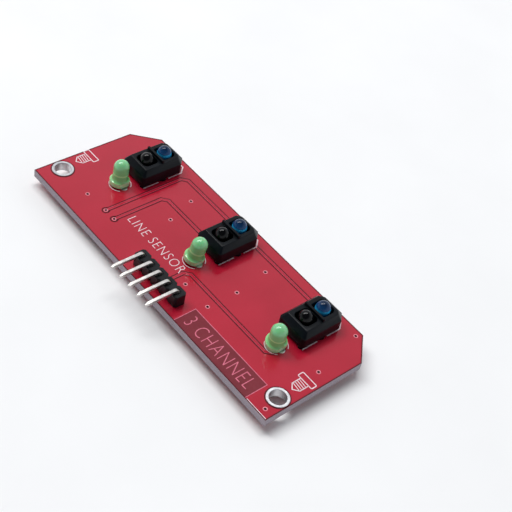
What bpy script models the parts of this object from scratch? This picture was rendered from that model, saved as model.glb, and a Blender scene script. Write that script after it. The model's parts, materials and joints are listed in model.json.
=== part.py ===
"""Three-channel reflective line sensor board, sensors up, standing on the tips of its trimmed leads.

Frame: origin under the middle of the whole object, +X along the board, +Y towards the sensors, +Z up.
The board's underside parts hang from an empty that is turned upside down, so that they are placed as
seen from below.
"""

import math

import bmesh
import bpy
from mathutils import Matrix, Vector

MM = 0.001

# Board
BOARD_LENGTH = 69.0 * MM
BOARD_WIDTH = 27.0 * MM
BOARD_THICKNESS = 1.6 * MM
CORNER_CUT_X = 4.5 * MM
CORNER_CUT_Y = 4.7 * MM

# Mounting holes, near the two corners of the header side
MOUNT_HOLE = 3.2 * MM
MOUNT_RING = 4.2 * MM
MOUNT_PLATING = 0.15 * MM
MOUNT_RING_RISE = 0.10 * MM
MOUNT_INSET_X = 2.4 * MM
MOUNT_INSET_Y = 4.8 * MM

# Leads and how they stand
LEAD_WIDTH = 0.50 * MM
LEAD_STICKOUT = 1.75 * MM
LEAD_HOLE_PLAY = 0.15 * MM
PITCH = 2.54 * MM
SEAT_GAP = 0.04 * MM

# Reflective sensors
SENSOR_END_INSET = 11.15 * MM
SENSOR_EDGE_GAP = 1.9 * MM
SENSOR_WIDTH = 5.8 * MM
SENSOR_LENGTH = 10.2 * MM
SENSOR_HEIGHT = 3.75 * MM
SENSOR_BEVEL_SIDE = 0.85 * MM
SENSOR_BEVEL_END = 1.05 * MM
SENSOR_BEVEL_DROP = 1.1 * MM
SENSOR_CORNER = 0.55 * MM
SENSOR_TOP_CORNER = 0.15 * MM
# The two corners at the emitter's end are cut off; the bevel narrows the cut towards the top
SENSOR_FAR_CUT = 1.3 * MM
SENSOR_TOP_FAR_CUT = 0.74 * MM
SENSOR_FOOT_HEIGHT = 0.4 * MM
SENSOR_FOOT_WIDTH = 1.0 * MM
SENSOR_FOOT_LENGTH = 1.6 * MM
SENSOR_FLOOR = 0.9 * MM
SENSOR_WELL_WALL = 0.3 * MM
SENSOR_WELL_END = 0.4 * MM
SENSOR_WELL_CORNER = 0.9 * MM
SENSOR_DIVIDER = 0.7 * MM
DIVIDER_FIN = 0.5 * MM
DIVIDER_FIN_RISE = 0.6 * MM
PEG_DIAMETER = 1.7 * MM
PEG_OUTSET = 0.35 * MM
PEG_SHOULDER = 0.9 * MM
KEY_PEG_DIAMETER = 1.1 * MM
KEY_PEG_INSET_X = 0.3 * MM
KEY_PEG_INSET_Y = 0.6 * MM
PEG_STICKOUT = 0.3 * MM
PEG_PLAY = 0.1 * MM
LENS_PLAY = 0.3 * MM
LENS_END_PLAY = 0.1 * MM
LENS_RISE = 1.4 * MM

# Indicator lamps, 3 mm type
LAMP_DIAMETER = 3.0 * MM
LAMP_FLANGE = 3.9 * MM
LAMP_FLANGE_HEIGHT = 1.0 * MM
LAMP_HEIGHT = 5.3 * MM
LAMP_SENSOR_GAP = 0.95 * MM
# How far each hand-soldered lamp leans, as (degrees about X, degrees about Y)
LAMP_LEANS = {"right": (-3.0, -4.0), "centre": (-6.0, 5.0), "left": (6.5, 3.0)}

# Pin header
PIN_COUNT = 5
PIN_WIDTH = 0.64 * MM
PIN_PLAY = 0.06 * MM
PIN_OVERHANG = 4.0 * MM
PIN_RUN_HEIGHT = 3.15 * MM
PIN_BEND_RADIUS = 0.7 * MM
PIN_TAPER = 0.5 * MM
PIN_TIP_SHARE = 0.55
HEADER_OFFSET_X = 1.2 * MM
HEADER_SETBACK = 3.0 * MM
HEADER_DEPTH = 2.54 * MM
HEADER_HEIGHT = 2.54 * MM
HEADER_NOTCH = 0.4 * MM

# Comparator chip, 14 legs
IC_LENGTH = 8.65 * MM
IC_WIDTH = 3.9 * MM
IC_HEIGHT = 1.3 * MM
IC_STANDOFF = 0.15 * MM
IC_LEG_PITCH = 1.27 * MM
IC_LEG_WIDTH = 0.42 * MM
IC_LEG_THICKNESS = 0.2 * MM
IC_LEG_SPAN = 6.0 * MM
IC_LEG_FOOT = 0.6 * MM
IC_LEGS_PER_SIDE = 7
IC_LEG_RAKE = 0.08 * MM
IC_DRAFT = 0.12 * MM
IC_LEFT_OF_MIDDLE = 3.0 * MM
IC_SETBACK = 4.6 * MM

# Small chip parts
CHIP_LENGTH = 2.0 * MM
CHIP_WIDTH = 1.25 * MM
CHIP_HEIGHT = 0.5 * MM
CAPACITOR_HEIGHT = 0.85 * MM
CAPACITOR_IC_GAP = 3.7 * MM
CHIP_EDGE = 0.06 * MM
CHIP_LEFT_OF_SENSOR = 6.3 * MM
POWER_LAMP_LENGTH = 3.2 * MM
POWER_LAMP_WIDTH = 1.6 * MM
POWER_LAMP_HEIGHT = 1.1 * MM
POWER_LAMP_RIGHT_OF_MIDDLE = 4.2 * MM
POWER_ROW_SETBACK = 5.05 * MM

# Fineness of round shapes
HOLE_SIDES = 14
MOUNT_SIDES = 40
ROUND_STEPS = 28
DOME_STEPS = 7
BEND_STEPS = 4
SMOOTH_ANGLE = math.radians(35)

# Modelling
# How far a cutter or an addition runs past the face that it meets
OVERLAP = 0.2 * MM
# The corners of a rectangle in order round it, as (side in X, side in Y)
CORNER_SIDES = ((-1, -1), (1, -1), (1, 1), (-1, 1))
MERGE_DISTANCE = 0.0001 * MM

# Places worked out from the sizes above
UNDERSIDE_Z = LEAD_STICKOUT
TOP_Z = LEAD_STICKOUT + BOARD_THICKNESS
HEADER_EDGE_Y = (PIN_OVERHANG - BOARD_WIDTH) / 2
SENSOR_EDGE_Y = HEADER_EDGE_Y + BOARD_WIDTH
SENSOR_Y = SENSOR_EDGE_Y - SENSOR_EDGE_GAP - SENSOR_LENGTH / 2
LAMP_Y = SENSOR_Y - SENSOR_LENGTH / 2 - LAMP_SENSOR_GAP - LAMP_FLANGE / 2
SENSOR_SPACING = BOARD_LENGTH / 2 - SENSOR_END_INSET
CHANNELS = {"right": -SENSOR_SPACING, "centre": 0.0, "left": SENSOR_SPACING}
MOUNT_X = BOARD_LENGTH / 2 - MOUNT_INSET_X
MOUNT_Y = HEADER_EDGE_Y + MOUNT_INSET_Y
HEADER_Y = HEADER_EDGE_Y + HEADER_SETBACK
PIN_XS = [HEADER_OFFSET_X + (i - (PIN_COUNT - 1) / 2) * PITCH for i in range(PIN_COUNT)]
IC_X = -SENSOR_SPACING / 2 - IC_LEFT_OF_MIDDLE
IC_Y = HEADER_EDGE_Y + IC_SETBACK
CAPACITOR_Y = IC_Y + IC_LEG_SPAN / 2 + CAPACITOR_IC_GAP + CHIP_WIDTH / 2
POWER_ROW_Y = HEADER_EDGE_Y + POWER_ROW_SETBACK
WELL_WIDTH = SENSOR_WIDTH - 2 * SENSOR_BEVEL_SIDE - 2 * SENSOR_WELL_WALL
WELL_LENGTH = SENSOR_LENGTH / 2 - SENSOR_BEVEL_END - SENSOR_WELL_END - SENSOR_DIVIDER / 2
LENS_RADIUS = min(WELL_WIDTH / 2 - LENS_PLAY, (WELL_LENGTH - LENS_PLAY - LENS_END_PLAY) / 2)
LENS_Y = SENSOR_DIVIDER / 2 + LENS_PLAY + LENS_RADIUS
LEAD_HOLE = LEAD_WIDTH * math.sqrt(2) + 2 * LEAD_HOLE_PLAY
PIN_HOLE = PIN_WIDTH * math.sqrt(2) + 2 * PIN_PLAY


def clear_scene():
    """Remove the start-up objects."""
    for obj in list(bpy.data.objects):
        bpy.data.objects.remove(obj, do_unlink=True)


def collection(name, hidden=False):
    """Make a collection in the scene."""
    made = bpy.data.collections.new(name)
    made.hide_render = hidden
    bpy.context.scene.collection.children.link(made)
    return made


def material(name, colour, roughness, metallic=0.0):
    """Make a plain Principled material."""
    made = bpy.data.materials.new(name)
    made.use_nodes = True
    shader = made.node_tree.nodes["Principled BSDF"]
    shader.inputs["Base Color"].default_value = (*colour, 1.0)
    shader.inputs["Roughness"].default_value = roughness
    shader.inputs["Metallic"].default_value = metallic
    return made


def place(data, name, home, finish, location=(0.0, 0.0, 0.0), parent=None):
    """Link an object that shows the given mesh or curve, with its finish."""
    obj = bpy.data.objects.new(name, data)
    home.objects.link(obj)
    obj.location = location
    obj.parent = parent
    if finish is not None and not data.materials:
        data.materials.append(finish)
    return obj


def mesh_of(bm, name, smooth_angle=None):
    """Turn a bmesh into mesh data, shaded smooth below an angle if one is given."""
    bmesh.ops.recalc_face_normals(bm, faces=bm.faces)
    mesh = bpy.data.meshes.new(name)
    bm.to_mesh(mesh)
    bm.free()
    if smooth_angle is not None:
        mesh.shade_smooth()
        mesh.set_sharp_from_angle(angle=smooth_angle)
    return mesh


def box_mesh(name, size, edge=0.0):
    """A box centred on the origin in X and Y, standing on z = 0, its edges rounded by a small flat."""
    bm = bmesh.new()
    lift = Matrix.Translation((0.0, 0.0, size[2] / 2))
    bmesh.ops.create_cube(bm, size=1.0, matrix=lift @ Matrix.Diagonal((*size, 1.0)))
    if edge:
        bmesh.ops.bevel(bm, geom=list(bm.edges), offset=edge, segments=1, affect="EDGES")
    return mesh_of(bm, name)


def cylinder_mesh(name, diameter, low, high, sides=ROUND_STEPS):
    """A round bar along Z between two heights."""
    bm = bmesh.new()
    lift = Matrix.Translation((0.0, 0.0, (low + high) / 2))
    bmesh.ops.create_cone(
        bm, cap_ends=True, segments=sides, radius1=diameter / 2, radius2=diameter / 2,
        depth=high - low, matrix=lift,
    )
    return mesh_of(bm, name, SMOOTH_ANGLE)


def turned_mesh(name, profile, steps=ROUND_STEPS):
    """A turned solid from (radius, height) points that run down the outer side, as baked mesh data."""
    bm = bmesh.new()
    verts = [bm.verts.new((radius, 0.0, height)) for radius, height in profile]
    for first, second in zip(verts, verts[1:]):
        bm.edges.new((first, second))
    if profile[0][0] > 0.0:
        bm.edges.new((verts[-1], verts[0]))
    mesh = bpy.data.meshes.new(name)
    bm.to_mesh(mesh)
    bm.free()
    blank = bpy.data.objects.new(name + "_blank", mesh)
    bpy.context.scene.collection.objects.link(blank)
    screw = blank.modifiers.new("turn", "SCREW")
    screw.steps = screw.render_steps = steps
    screw.use_merge_vertices = True
    screw.merge_threshold = MERGE_DISTANCE
    return bake(blank, name, SMOOTH_ANGLE)


def bake(blank, name, smooth_angle=None):
    """Replace a helper object by plain mesh data holding the result of its modifiers."""
    bpy.context.view_layer.update()
    graph = bpy.context.evaluated_depsgraph_get()
    mesh = bpy.data.meshes.new_from_object(blank.evaluated_get(graph))
    mesh.transform(blank.matrix_world)
    mesh.name = name
    mesh.materials.clear()
    bpy.data.objects.remove(blank, do_unlink=True)
    if smooth_angle is not None:
        mesh.shade_smooth()
        mesh.set_sharp_from_angle(angle=smooth_angle)
    return mesh


def outline_mesh(name, outline, holes, thickness):
    """A flat plate on z = 0 from a 2D outline with holes, each a list of (x, y) points."""
    curve = bpy.data.curves.new(name, "CURVE")
    curve.dimensions = "2D"
    curve.fill_mode = "BOTH"
    curve.extrude = thickness / 2
    for ring in [outline, *holes]:
        spline = curve.splines.new("POLY")
        spline.points.add(len(ring) - 1)
        for point, (x, y) in zip(spline.points, ring):
            point.co = (x, y, 0.0, 1.0)
        spline.use_cyclic_u = True
    blank = bpy.data.objects.new(name + "_blank", curve)
    bpy.context.scene.collection.objects.link(blank)
    blank.location.z = thickness / 2
    mesh = bake(blank, name)
    bm = bmesh.new()
    bm.from_mesh(mesh)
    bmesh.ops.remove_doubles(bm, verts=bm.verts, dist=MERGE_DISTANCE)
    bmesh.ops.recalc_face_normals(bm, faces=bm.faces)
    bm.to_mesh(mesh)
    bm.free()
    return mesh


def ring_points(diameter, centre, sides):
    """Points round a circle."""
    return [
        (
            centre[0] + diameter / 2 * math.cos(2 * math.pi * i / sides),
            centre[1] + diameter / 2 * math.sin(2 * math.pi * i / sides),
        )
        for i in range(sides)
    ]


def square_points(width, centre):
    """Corners of a square."""
    half = width / 2
    return [(centre[0] + sx * half, centre[1] + sy * half) for sx, sy in CORNER_SIDES]


def square_wire(name, points, width, shares=None):
    """A bar of square section along a path, its section scaled at each point by the shares."""
    curve = bpy.data.curves.new(name, "CURVE")
    curve.dimensions = "3D"
    curve.bevel_depth = width / math.sqrt(2)
    curve.bevel_resolution = 0
    curve.use_fill_caps = True
    spline = curve.splines.new("POLY")
    spline.points.add(len(points) - 1)
    for i, (point, place_at) in enumerate(zip(spline.points, points)):
        point.co = (*place_at, 1.0)
        point.tilt = math.radians(45)
        point.radius = shares[i] if shares else 1.0
    return curve


def cut(obj, cutter, operation="DIFFERENCE"):
    """Add an exact Boolean with one other object."""
    step = obj.modifiers.new(cutter.name, "BOOLEAN")
    step.operation = operation
    step.object = cutter
    step.solver = "EXACT"


def helper(data, name, cutters, location=(0.0, 0.0, 0.0)):
    """A cutter or an addition for a Boolean, which doesn't render."""
    obj = place(data, name, cutters, None, location)
    obj.hide_render = True
    obj.display_type = "WIRE"
    return obj


def sensor_lead_spots():
    """Lead centres of one sensor, from its own centre."""
    return {
        "emitter_anode": (-PITCH / 2, PITCH),
        "emitter_cathode": (PITCH / 2, PITCH),
        "detector_collector": (-PITCH / 2, -PITCH),
        "detector_emitter": (PITCH / 2, -PITCH),
    }


def sensor_peg_spots():
    """Peg centres and diameters of one sensor, from its own centre."""
    side = SENSOR_WIDTH / 2 - PEG_OUTSET
    return [
        (-side, 0.0, PEG_DIAMETER),
        (side, 0.0, PEG_DIAMETER),
        (SENSOR_WIDTH / 2 - KEY_PEG_INSET_X, KEY_PEG_INSET_Y - SENSOR_LENGTH / 2, KEY_PEG_DIAMETER),
    ]


def build_board(home):
    """The bare board with every hole that a part passes through."""
    half = BOARD_LENGTH / 2
    outline = [
        (-half, HEADER_EDGE_Y),
        (half, HEADER_EDGE_Y),
        (half, SENSOR_EDGE_Y - CORNER_CUT_Y),
        (half - CORNER_CUT_X, SENSOR_EDGE_Y),
        (-half + CORNER_CUT_X, SENSOR_EDGE_Y),
        (-half, SENSOR_EDGE_Y - CORNER_CUT_Y),
    ]
    barrel = MOUNT_HOLE + 2 * MOUNT_PLATING + 2 * SEAT_GAP
    holes = [ring_points(barrel, (side * MOUNT_X, MOUNT_Y), MOUNT_SIDES) for side in (-1, 1)]
    holes += [ring_points(PIN_HOLE, (x, HEADER_Y), HOLE_SIDES) for x in PIN_XS]
    for x in CHANNELS.values():
        for side in (-1, 1):
            holes.append(ring_points(LEAD_HOLE, (x + side * PITCH / 2, LAMP_Y), HOLE_SIDES))
        for dx, dy in sensor_lead_spots().values():
            holes.append(ring_points(LEAD_HOLE, (x + dx, SENSOR_Y + dy), HOLE_SIDES))
        for dx, dy, diameter in sensor_peg_spots():
            holes.append(ring_points(diameter + 2 * PEG_PLAY, (x + dx, SENSOR_Y + dy), HOLE_SIDES))
    data = outline_mesh("board", outline, holes, BOARD_THICKNESS)
    finish = material("solder_mask_red", (0.50, 0.03, 0.06), 0.28)
    place(data, "board", home, finish, (0.0, 0.0, UNDERSIDE_Z))


def build_mount_rings(home):
    """The plated hole and its pads, one turned piece at each mounting hole."""
    bore = MOUNT_HOLE / 2
    barrel = bore + MOUNT_PLATING
    rim = MOUNT_RING / 2
    top = TOP_Z + SEAT_GAP
    bottom = UNDERSIDE_Z - SEAT_GAP
    profile = [
        (bore, top + MOUNT_RING_RISE),
        (rim, top + MOUNT_RING_RISE),
        (rim, top),
        (barrel, top),
        (barrel, bottom),
        (rim, bottom),
        (rim, bottom - MOUNT_RING_RISE),
        (bore, bottom - MOUNT_RING_RISE),
    ]
    data = turned_mesh("mounting_ring", profile, MOUNT_SIDES)
    finish = material("tinned_copper", (0.80, 0.80, 0.80), 0.25, 1.0)
    for name, side in (("right", -1), ("left", 1)):
        place(data, f"mounting_ring_{name}", home, finish, (side * MOUNT_X, MOUNT_Y, 0.0))


def well_mesh():
    """The cutter of the well on the divider's +Y side, its corners rounded."""
    low = SENSOR_FOOT_HEIGHT + SENSOR_FLOOR
    half = WELL_WIDTH / 2 - SENSOR_WELL_CORNER
    near = SENSOR_DIVIDER / 2 + SENSOR_WELL_CORNER
    far = SENSOR_DIVIDER / 2 + WELL_LENGTH - SENSOR_WELL_CORNER
    outline = []
    for quarter, (x, y) in enumerate(((half, far), (-half, far), (-half, near), (half, near))):
        for i in range(BEND_STEPS + 1):
            turn = math.pi / 2 * (quarter + i / BEND_STEPS)
            step_x, step_y = SENSOR_WELL_CORNER * math.cos(turn), SENSOR_WELL_CORNER * math.sin(turn)
            outline.append((x + step_x, y + step_y))
    mesh = outline_mesh("well", outline, [], SENSOR_HEIGHT + OVERLAP - low)
    mesh.transform(Matrix.Translation((0.0, 0.0, low)))
    return mesh


def housing_mesh(cutters):
    """One sensor housing standing on z = 0: bevelled block on feet, pegs below, wells and a fin above."""
    def section(width, length, corner, far_cut, height):
        half_w, half_l = width / 2, length / 2
        corners = []
        for sx, sy in CORNER_SIDES:
            off = far_cut if sy > 0 else corner
            along = (sx * (half_w - off), sy * half_l)
            across = (sx * half_w, sy * (half_l - off))
            corners += [across, along] if sx * sy > 0 else [along, across]
        return [Vector((x, y, height)) for x, y in corners]

    bm = bmesh.new()
    rings = []
    top_width = SENSOR_WIDTH - 2 * SENSOR_BEVEL_SIDE
    top_length = SENSOR_LENGTH - 2 * SENSOR_BEVEL_END
    for shape in (
        (SENSOR_WIDTH, SENSOR_LENGTH, SENSOR_CORNER, SENSOR_FAR_CUT, SENSOR_FOOT_HEIGHT),
        (SENSOR_WIDTH, SENSOR_LENGTH, SENSOR_CORNER, SENSOR_FAR_CUT, SENSOR_HEIGHT - SENSOR_BEVEL_DROP),
        (top_width, top_length, SENSOR_TOP_CORNER, SENSOR_TOP_FAR_CUT, SENSOR_HEIGHT),
    ):
        rings.append([bm.verts.new(v) for v in section(*shape)])
    for low, high in zip(rings, rings[1:]):
        for i in range(len(low)):
            j = (i + 1) % len(low)
            bm.faces.new((low[i], low[j], high[j], high[i]))
    bm.faces.new(rings[0])
    bm.faces.new(rings[-1])
    blank = place(mesh_of(bm, "housing_block"), "housing_blank", cutters, None)

    additions = []
    foot = (SENSOR_FOOT_WIDTH, SENSOR_FOOT_LENGTH, SENSOR_FOOT_HEIGHT + OVERLAP)
    foot_x = SENSOR_WIDTH / 2 - SENSOR_CORNER - foot[0] / 2
    foot_y = SENSOR_LENGTH / 2 - SENSOR_FAR_CUT - foot[1] / 2
    for i, (x, y) in enumerate(((-foot_x, -foot_y), (-foot_x, foot_y), (foot_x, foot_y))):
        additions.append(helper(box_mesh("foot", foot), f"foot_{i}", cutters, (x, y, 0.0)))
    reach = BOARD_THICKNESS + PEG_STICKOUT
    for i, (x, y, diameter) in enumerate(sensor_peg_spots()):
        peg = cylinder_mesh("peg", diameter, -reach, PEG_SHOULDER)
        additions.append(helper(peg, f"peg_{i}", cutters, (x, y, 0.0)))
    fin = box_mesh("fin", (top_width, DIVIDER_FIN, DIVIDER_FIN_RISE + OVERLAP))
    additions.append(helper(fin, "divider_fin", cutters, (0.0, 0.0, SENSOR_HEIGHT - OVERLAP)))
    for addition in additions:
        cut(blank, addition, "UNION")

    removals = []
    well = well_mesh()
    for i in range(2):
        removals.append(helper(well, f"well_{i}", cutters))
        removals[-1].rotation_euler.z = math.pi * i
    for name, (x, y) in sensor_lead_spots().items():
        bore_top = SENSOR_FOOT_HEIGHT + SENSOR_FLOOR + OVERLAP
        bore = cylinder_mesh("bore", LEAD_HOLE, -OVERLAP, bore_top, HOLE_SIDES)
        removals.append(helper(bore, f"bore_{name}", cutters, (x, y, 0.0)))
    for removal in removals:
        cut(blank, removal)
    mesh = bake(blank, "sensor_housing", SMOOTH_ANGLE)
    for obj in additions + removals:
        bpy.data.objects.remove(obj, do_unlink=True)
    return mesh


def lens_mesh(name):
    """A domed lens body standing on z = 0, in one of a housing's wells."""
    depth = SENSOR_HEIGHT - SENSOR_FOOT_HEIGHT - SENSOR_FLOOR
    height = depth + LENS_RISE - SEAT_GAP
    shoulder = height - LENS_RADIUS
    profile = []
    for i in range(DOME_STEPS):
        turn = math.pi / 2 * i / DOME_STEPS
        profile.append((LENS_RADIUS * math.sin(turn), shoulder + LENS_RADIUS * math.cos(turn)))
    profile += [(LENS_RADIUS, shoulder), (LENS_RADIUS, 0.0), (0.0, 0.0)]
    return turned_mesh(name, profile, ROUND_STEPS)


def build_sensors(home, cutters):
    """Three reflective sensors: housing, infrared emitter, detector and four leads each."""
    housing = housing_mesh(cutters)
    emitter = lens_mesh("sensor_emitter")
    detector = lens_mesh("sensor_detector")
    black = material("sensor_black_plastic", (0.015, 0.015, 0.017), 0.55)
    blue = material("emitter_blue_epoxy", (0.02, 0.10, 0.28), 0.08)
    dark = material("detector_dark_epoxy", (0.008, 0.006, 0.008), 0.08)
    tin = material("sensor_lead_tin", (0.78, 0.78, 0.78), 0.3, 1.0)
    base = TOP_Z + SEAT_GAP
    lens_z = base + SENSOR_FOOT_HEIGHT + SENSOR_FLOOR + SEAT_GAP
    lead_top = lens_z - SEAT_GAP
    lead = square_wire("sensor_lead", [(0, 0, 0), (0, 0, lead_top)], LEAD_WIDTH)
    for name, x in CHANNELS.items():
        place(housing, f"sensor_{name}_housing", home, black, (x, SENSOR_Y, base))
        place(emitter, f"sensor_{name}_emitter", home, blue, (x, SENSOR_Y + LENS_Y, lens_z))
        place(detector, f"sensor_{name}_detector", home, dark, (x, SENSOR_Y - LENS_Y, lens_z))
        for role, (dx, dy) in sensor_lead_spots().items():
            place(lead, f"sensor_{name}_{role}_lead", home, tin, (x + dx, SENSOR_Y + dy, 0.0))


def build_lamps(home):
    """Three 3 mm indicator lamps, one behind each sensor, with an anode and a cathode lead each."""
    radius = LAMP_DIAMETER / 2
    shoulder = LAMP_HEIGHT - radius
    profile = []
    for i in range(DOME_STEPS):
        turn = math.pi / 2 * i / DOME_STEPS
        profile.append((radius * math.sin(turn), shoulder + radius * math.cos(turn)))
    profile += [
        (radius, shoulder),
        (radius, LAMP_FLANGE_HEIGHT),
        (LAMP_FLANGE / 2, LAMP_FLANGE_HEIGHT),
        (LAMP_FLANGE / 2, 0.0),
        (0.0, 0.0),
    ]
    lens = turned_mesh("indicator_lens", profile, ROUND_STEPS)
    green = material("indicator_green_epoxy", (0.10, 0.42, 0.14), 0.2)
    tin = material("indicator_lead_tin", (0.78, 0.78, 0.78), 0.3, 1.0)
    lead = square_wire("indicator_lead", [(0, 0, 0), (0, 0, TOP_Z)], LEAD_WIDTH)
    for name, x in CHANNELS.items():
        lean_x, lean_y = (math.radians(angle) for angle in LAMP_LEANS[name])
        lift = LAMP_FLANGE / 2 * math.sin(math.hypot(lean_x, lean_y))
        lamp = place(lens, f"indicator_{name}_lens", home, green, (x, LAMP_Y, TOP_Z + SEAT_GAP + lift))
        lamp.rotation_euler = (lean_x, lean_y, 0.0)
        for role, side in (("anode", -1), ("cathode", 1)):
            place(lead, f"indicator_{name}_{role}_lead", home, tin, (x + side * PITCH / 2, LAMP_Y, 0.0))


def build_header(home):
    """A five-way right-angle pin header: a notched block with one bent square pin in each cell."""
    half_depth = HEADER_DEPTH / 2
    half_cell = PITCH / 2
    near = []
    for x in PIN_XS:
        near += [
            (x - half_cell, -half_depth + HEADER_NOTCH),
            (x - half_cell + HEADER_NOTCH, -half_depth),
            (x + half_cell - HEADER_NOTCH, -half_depth),
        ]
    near.append((PIN_XS[-1] + half_cell, -half_depth + HEADER_NOTCH))
    outline = [(x, HEADER_Y + y) for x, y in near] + [(x, HEADER_Y - y) for x, y in reversed(near)]
    holes = [square_points(PIN_WIDTH + 2 * PIN_PLAY, (x, HEADER_Y)) for x in PIN_XS]
    block = outline_mesh("header_block", outline, holes, HEADER_HEIGHT)
    black = material("header_black_plastic", (0.02, 0.02, 0.022), 0.6)
    place(block, "header_block", home, black, (0.0, 0.0, TOP_Z + SEAT_GAP))

    run_z = TOP_Z + PIN_RUN_HEIGHT
    tip_y = HEADER_EDGE_Y - PIN_OVERHANG - HEADER_Y
    path = [(0.0, 0.0, 0.0)]
    for i in range(BEND_STEPS + 1):
        turn = math.pi / 2 * i / BEND_STEPS
        path.append(
            (0.0, PIN_BEND_RADIUS * (math.cos(turn) - 1), run_z - PIN_BEND_RADIUS * (1 - math.sin(turn)))
        )
    path += [(0.0, tip_y + PIN_TAPER, run_z), (0.0, tip_y, run_z)]
    shares = [1.0] * (len(path) - 1) + [PIN_TIP_SHARE]
    pin = square_wire("header_pin", path, PIN_WIDTH, shares)
    tin = material("header_pin_tin", (0.82, 0.80, 0.76), 0.22, 1.0)
    for i, x in enumerate(PIN_XS):
        place(pin, f"header_pin_{i + 1}", home, tin, (x, HEADER_Y, 0.0))


def leg_profile():
    """Side view of one chip leg as (distance from the chip's middle, height): foot, shank, shoulder."""
    foot_out = IC_LEG_SPAN / 2
    foot_in = foot_out - IC_LEG_FOOT
    root = IC_WIDTH / 2 - 2 * IC_DRAFT
    waist = IC_STANDOFF + IC_HEIGHT / 2
    thick = IC_LEG_THICKNESS
    return [
        (foot_out, 0.0),
        (foot_out, thick),
        (foot_in + thick, thick),
        (foot_in + thick - IC_LEG_RAKE, waist + thick / 2),
        (root, waist + thick / 2),
        (root, waist - thick / 2),
        (foot_in - IC_LEG_RAKE, waist - thick / 2),
        (foot_in, 0.0),
    ]


def chip_mesh(cutters):
    """The comparator on z = 0: a drafted body joined to two rows of bent legs."""
    bm = bmesh.new()
    waist = IC_STANDOFF + IC_HEIGHT / 2
    rings = []
    for height, draft in ((IC_STANDOFF, IC_DRAFT), (waist, 0.0), (IC_STANDOFF + IC_HEIGHT, IC_DRAFT)):
        half_l, half_w = IC_LENGTH / 2 - draft, IC_WIDTH / 2 - draft
        rings.append([
            bm.verts.new((sx * half_l, sy * half_w, height)) for sx, sy in CORNER_SIDES
        ])
    for low, high in zip(rings, rings[1:]):
        for i in range(4):
            j = (i + 1) % 4
            bm.faces.new((low[i], low[j], high[j], high[i]))
    bm.faces.new(rings[0])
    bm.faces.new(rings[-1])
    body = place(mesh_of(bm, "chip_body"), "chip_blank", cutters, None)

    legs = bmesh.new()
    for i in range(IC_LEGS_PER_SIDE):
        middle = (i - (IC_LEGS_PER_SIDE - 1) / 2) * IC_LEG_PITCH
        for side in (-1, 1):
            near, far = [
                [legs.verts.new((middle + shift, side * y, z)) for y, z in leg_profile()]
                for shift in (-IC_LEG_WIDTH / 2, IC_LEG_WIDTH / 2)
            ]
            legs.faces.new(near)
            legs.faces.new(far)
            for a in range(len(near)):
                b = (a + 1) % len(near)
                legs.faces.new((near[a], near[b], far[b], far[a]))
    rows = helper(mesh_of(legs, "chip_legs"), "chip_legs", cutters)
    cut(body, rows, "UNION")
    mesh = bake(body, "comparator_chip")
    bpy.data.objects.remove(rows, do_unlink=True)
    return mesh


def build_underside(home, cutters):
    """The soldered parts below the board, placed as seen from below."""
    below = bpy.data.objects.new("underside", None)
    below.location = (0.0, 0.0, UNDERSIDE_Z - SEAT_GAP)
    below.rotation_euler = (math.pi, 0.0, 0.0)
    home.objects.link(below)

    def put(data, name, x, y, finish):
        place(data, name, home, finish, (x, -y, 0.0), below)

    epoxy = material("chip_slate_epoxy", (0.05, 0.06, 0.08), 0.5)
    put(chip_mesh(cutters), "comparator_chip", IC_X, IC_Y, epoxy)

    resistor = box_mesh("chip_resistor", (CHIP_LENGTH, CHIP_WIDTH, CHIP_HEIGHT), CHIP_EDGE)
    dark = material("resistor_glaze", (0.06, 0.06, 0.08), 0.35)
    rows = {
        "indicator": LAMP_Y,
        "detector": SENSOR_Y - PITCH,
        "emitter": SENSOR_Y + PITCH,
    }
    for channel, x in CHANNELS.items():
        for role, y in rows.items():
            put(resistor, f"resistor_{channel}_{role}", x - CHIP_LEFT_OF_SENSOR, y, dark)
    put(resistor, "resistor_power_lamp", CHANNELS["left"], POWER_ROW_Y, dark)

    capacitor = box_mesh("capacitor", (CHIP_LENGTH, CHIP_WIDTH, CAPACITOR_HEIGHT), CHIP_EDGE)
    tan = material("capacitor_ceramic", (0.30, 0.24, 0.19), 0.4)
    put(capacitor, "supply_capacitor", IC_X, CAPACITOR_Y, tan)

    lamp_size = (POWER_LAMP_LENGTH, POWER_LAMP_WIDTH, POWER_LAMP_HEIGHT)
    lamp = box_mesh("power_lamp", lamp_size, CHIP_EDGE)
    white = material("power_lamp_white", (0.80, 0.84, 0.80), 0.3)
    put(lamp, "power_lamp", SENSOR_SPACING / 2 + POWER_LAMP_RIGHT_OF_MIDDLE, POWER_ROW_Y, white)


def main():
    clear_scene()
    home = collection("line_sensor_board")
    cutters = collection("cutters", hidden=True)
    build_board(home)
    build_mount_rings(home)
    build_sensors(home, cutters)
    build_lamps(home)
    build_header(home)
    build_underside(home, cutters)


main()
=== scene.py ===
"""Looks of the three-channel line sensor board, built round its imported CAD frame.

Frame: metres, +X along the board, +Y towards the sensors, +Z up, the lead tips on z = 0. Each
sub-assembly takes its place from the CAD nodes that it dresses or stands for. Lists of routes and
legend strokes are in millimetres from the middle of the frame.
"""

from __future__ import annotations

import json
import logging
import math
from collections.abc import Iterable, Sequence
from dataclasses import dataclass, field
from enum import Enum

import bmesh
import bpy
import numpy as np
from mathutils import Matrix, Vector

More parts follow.
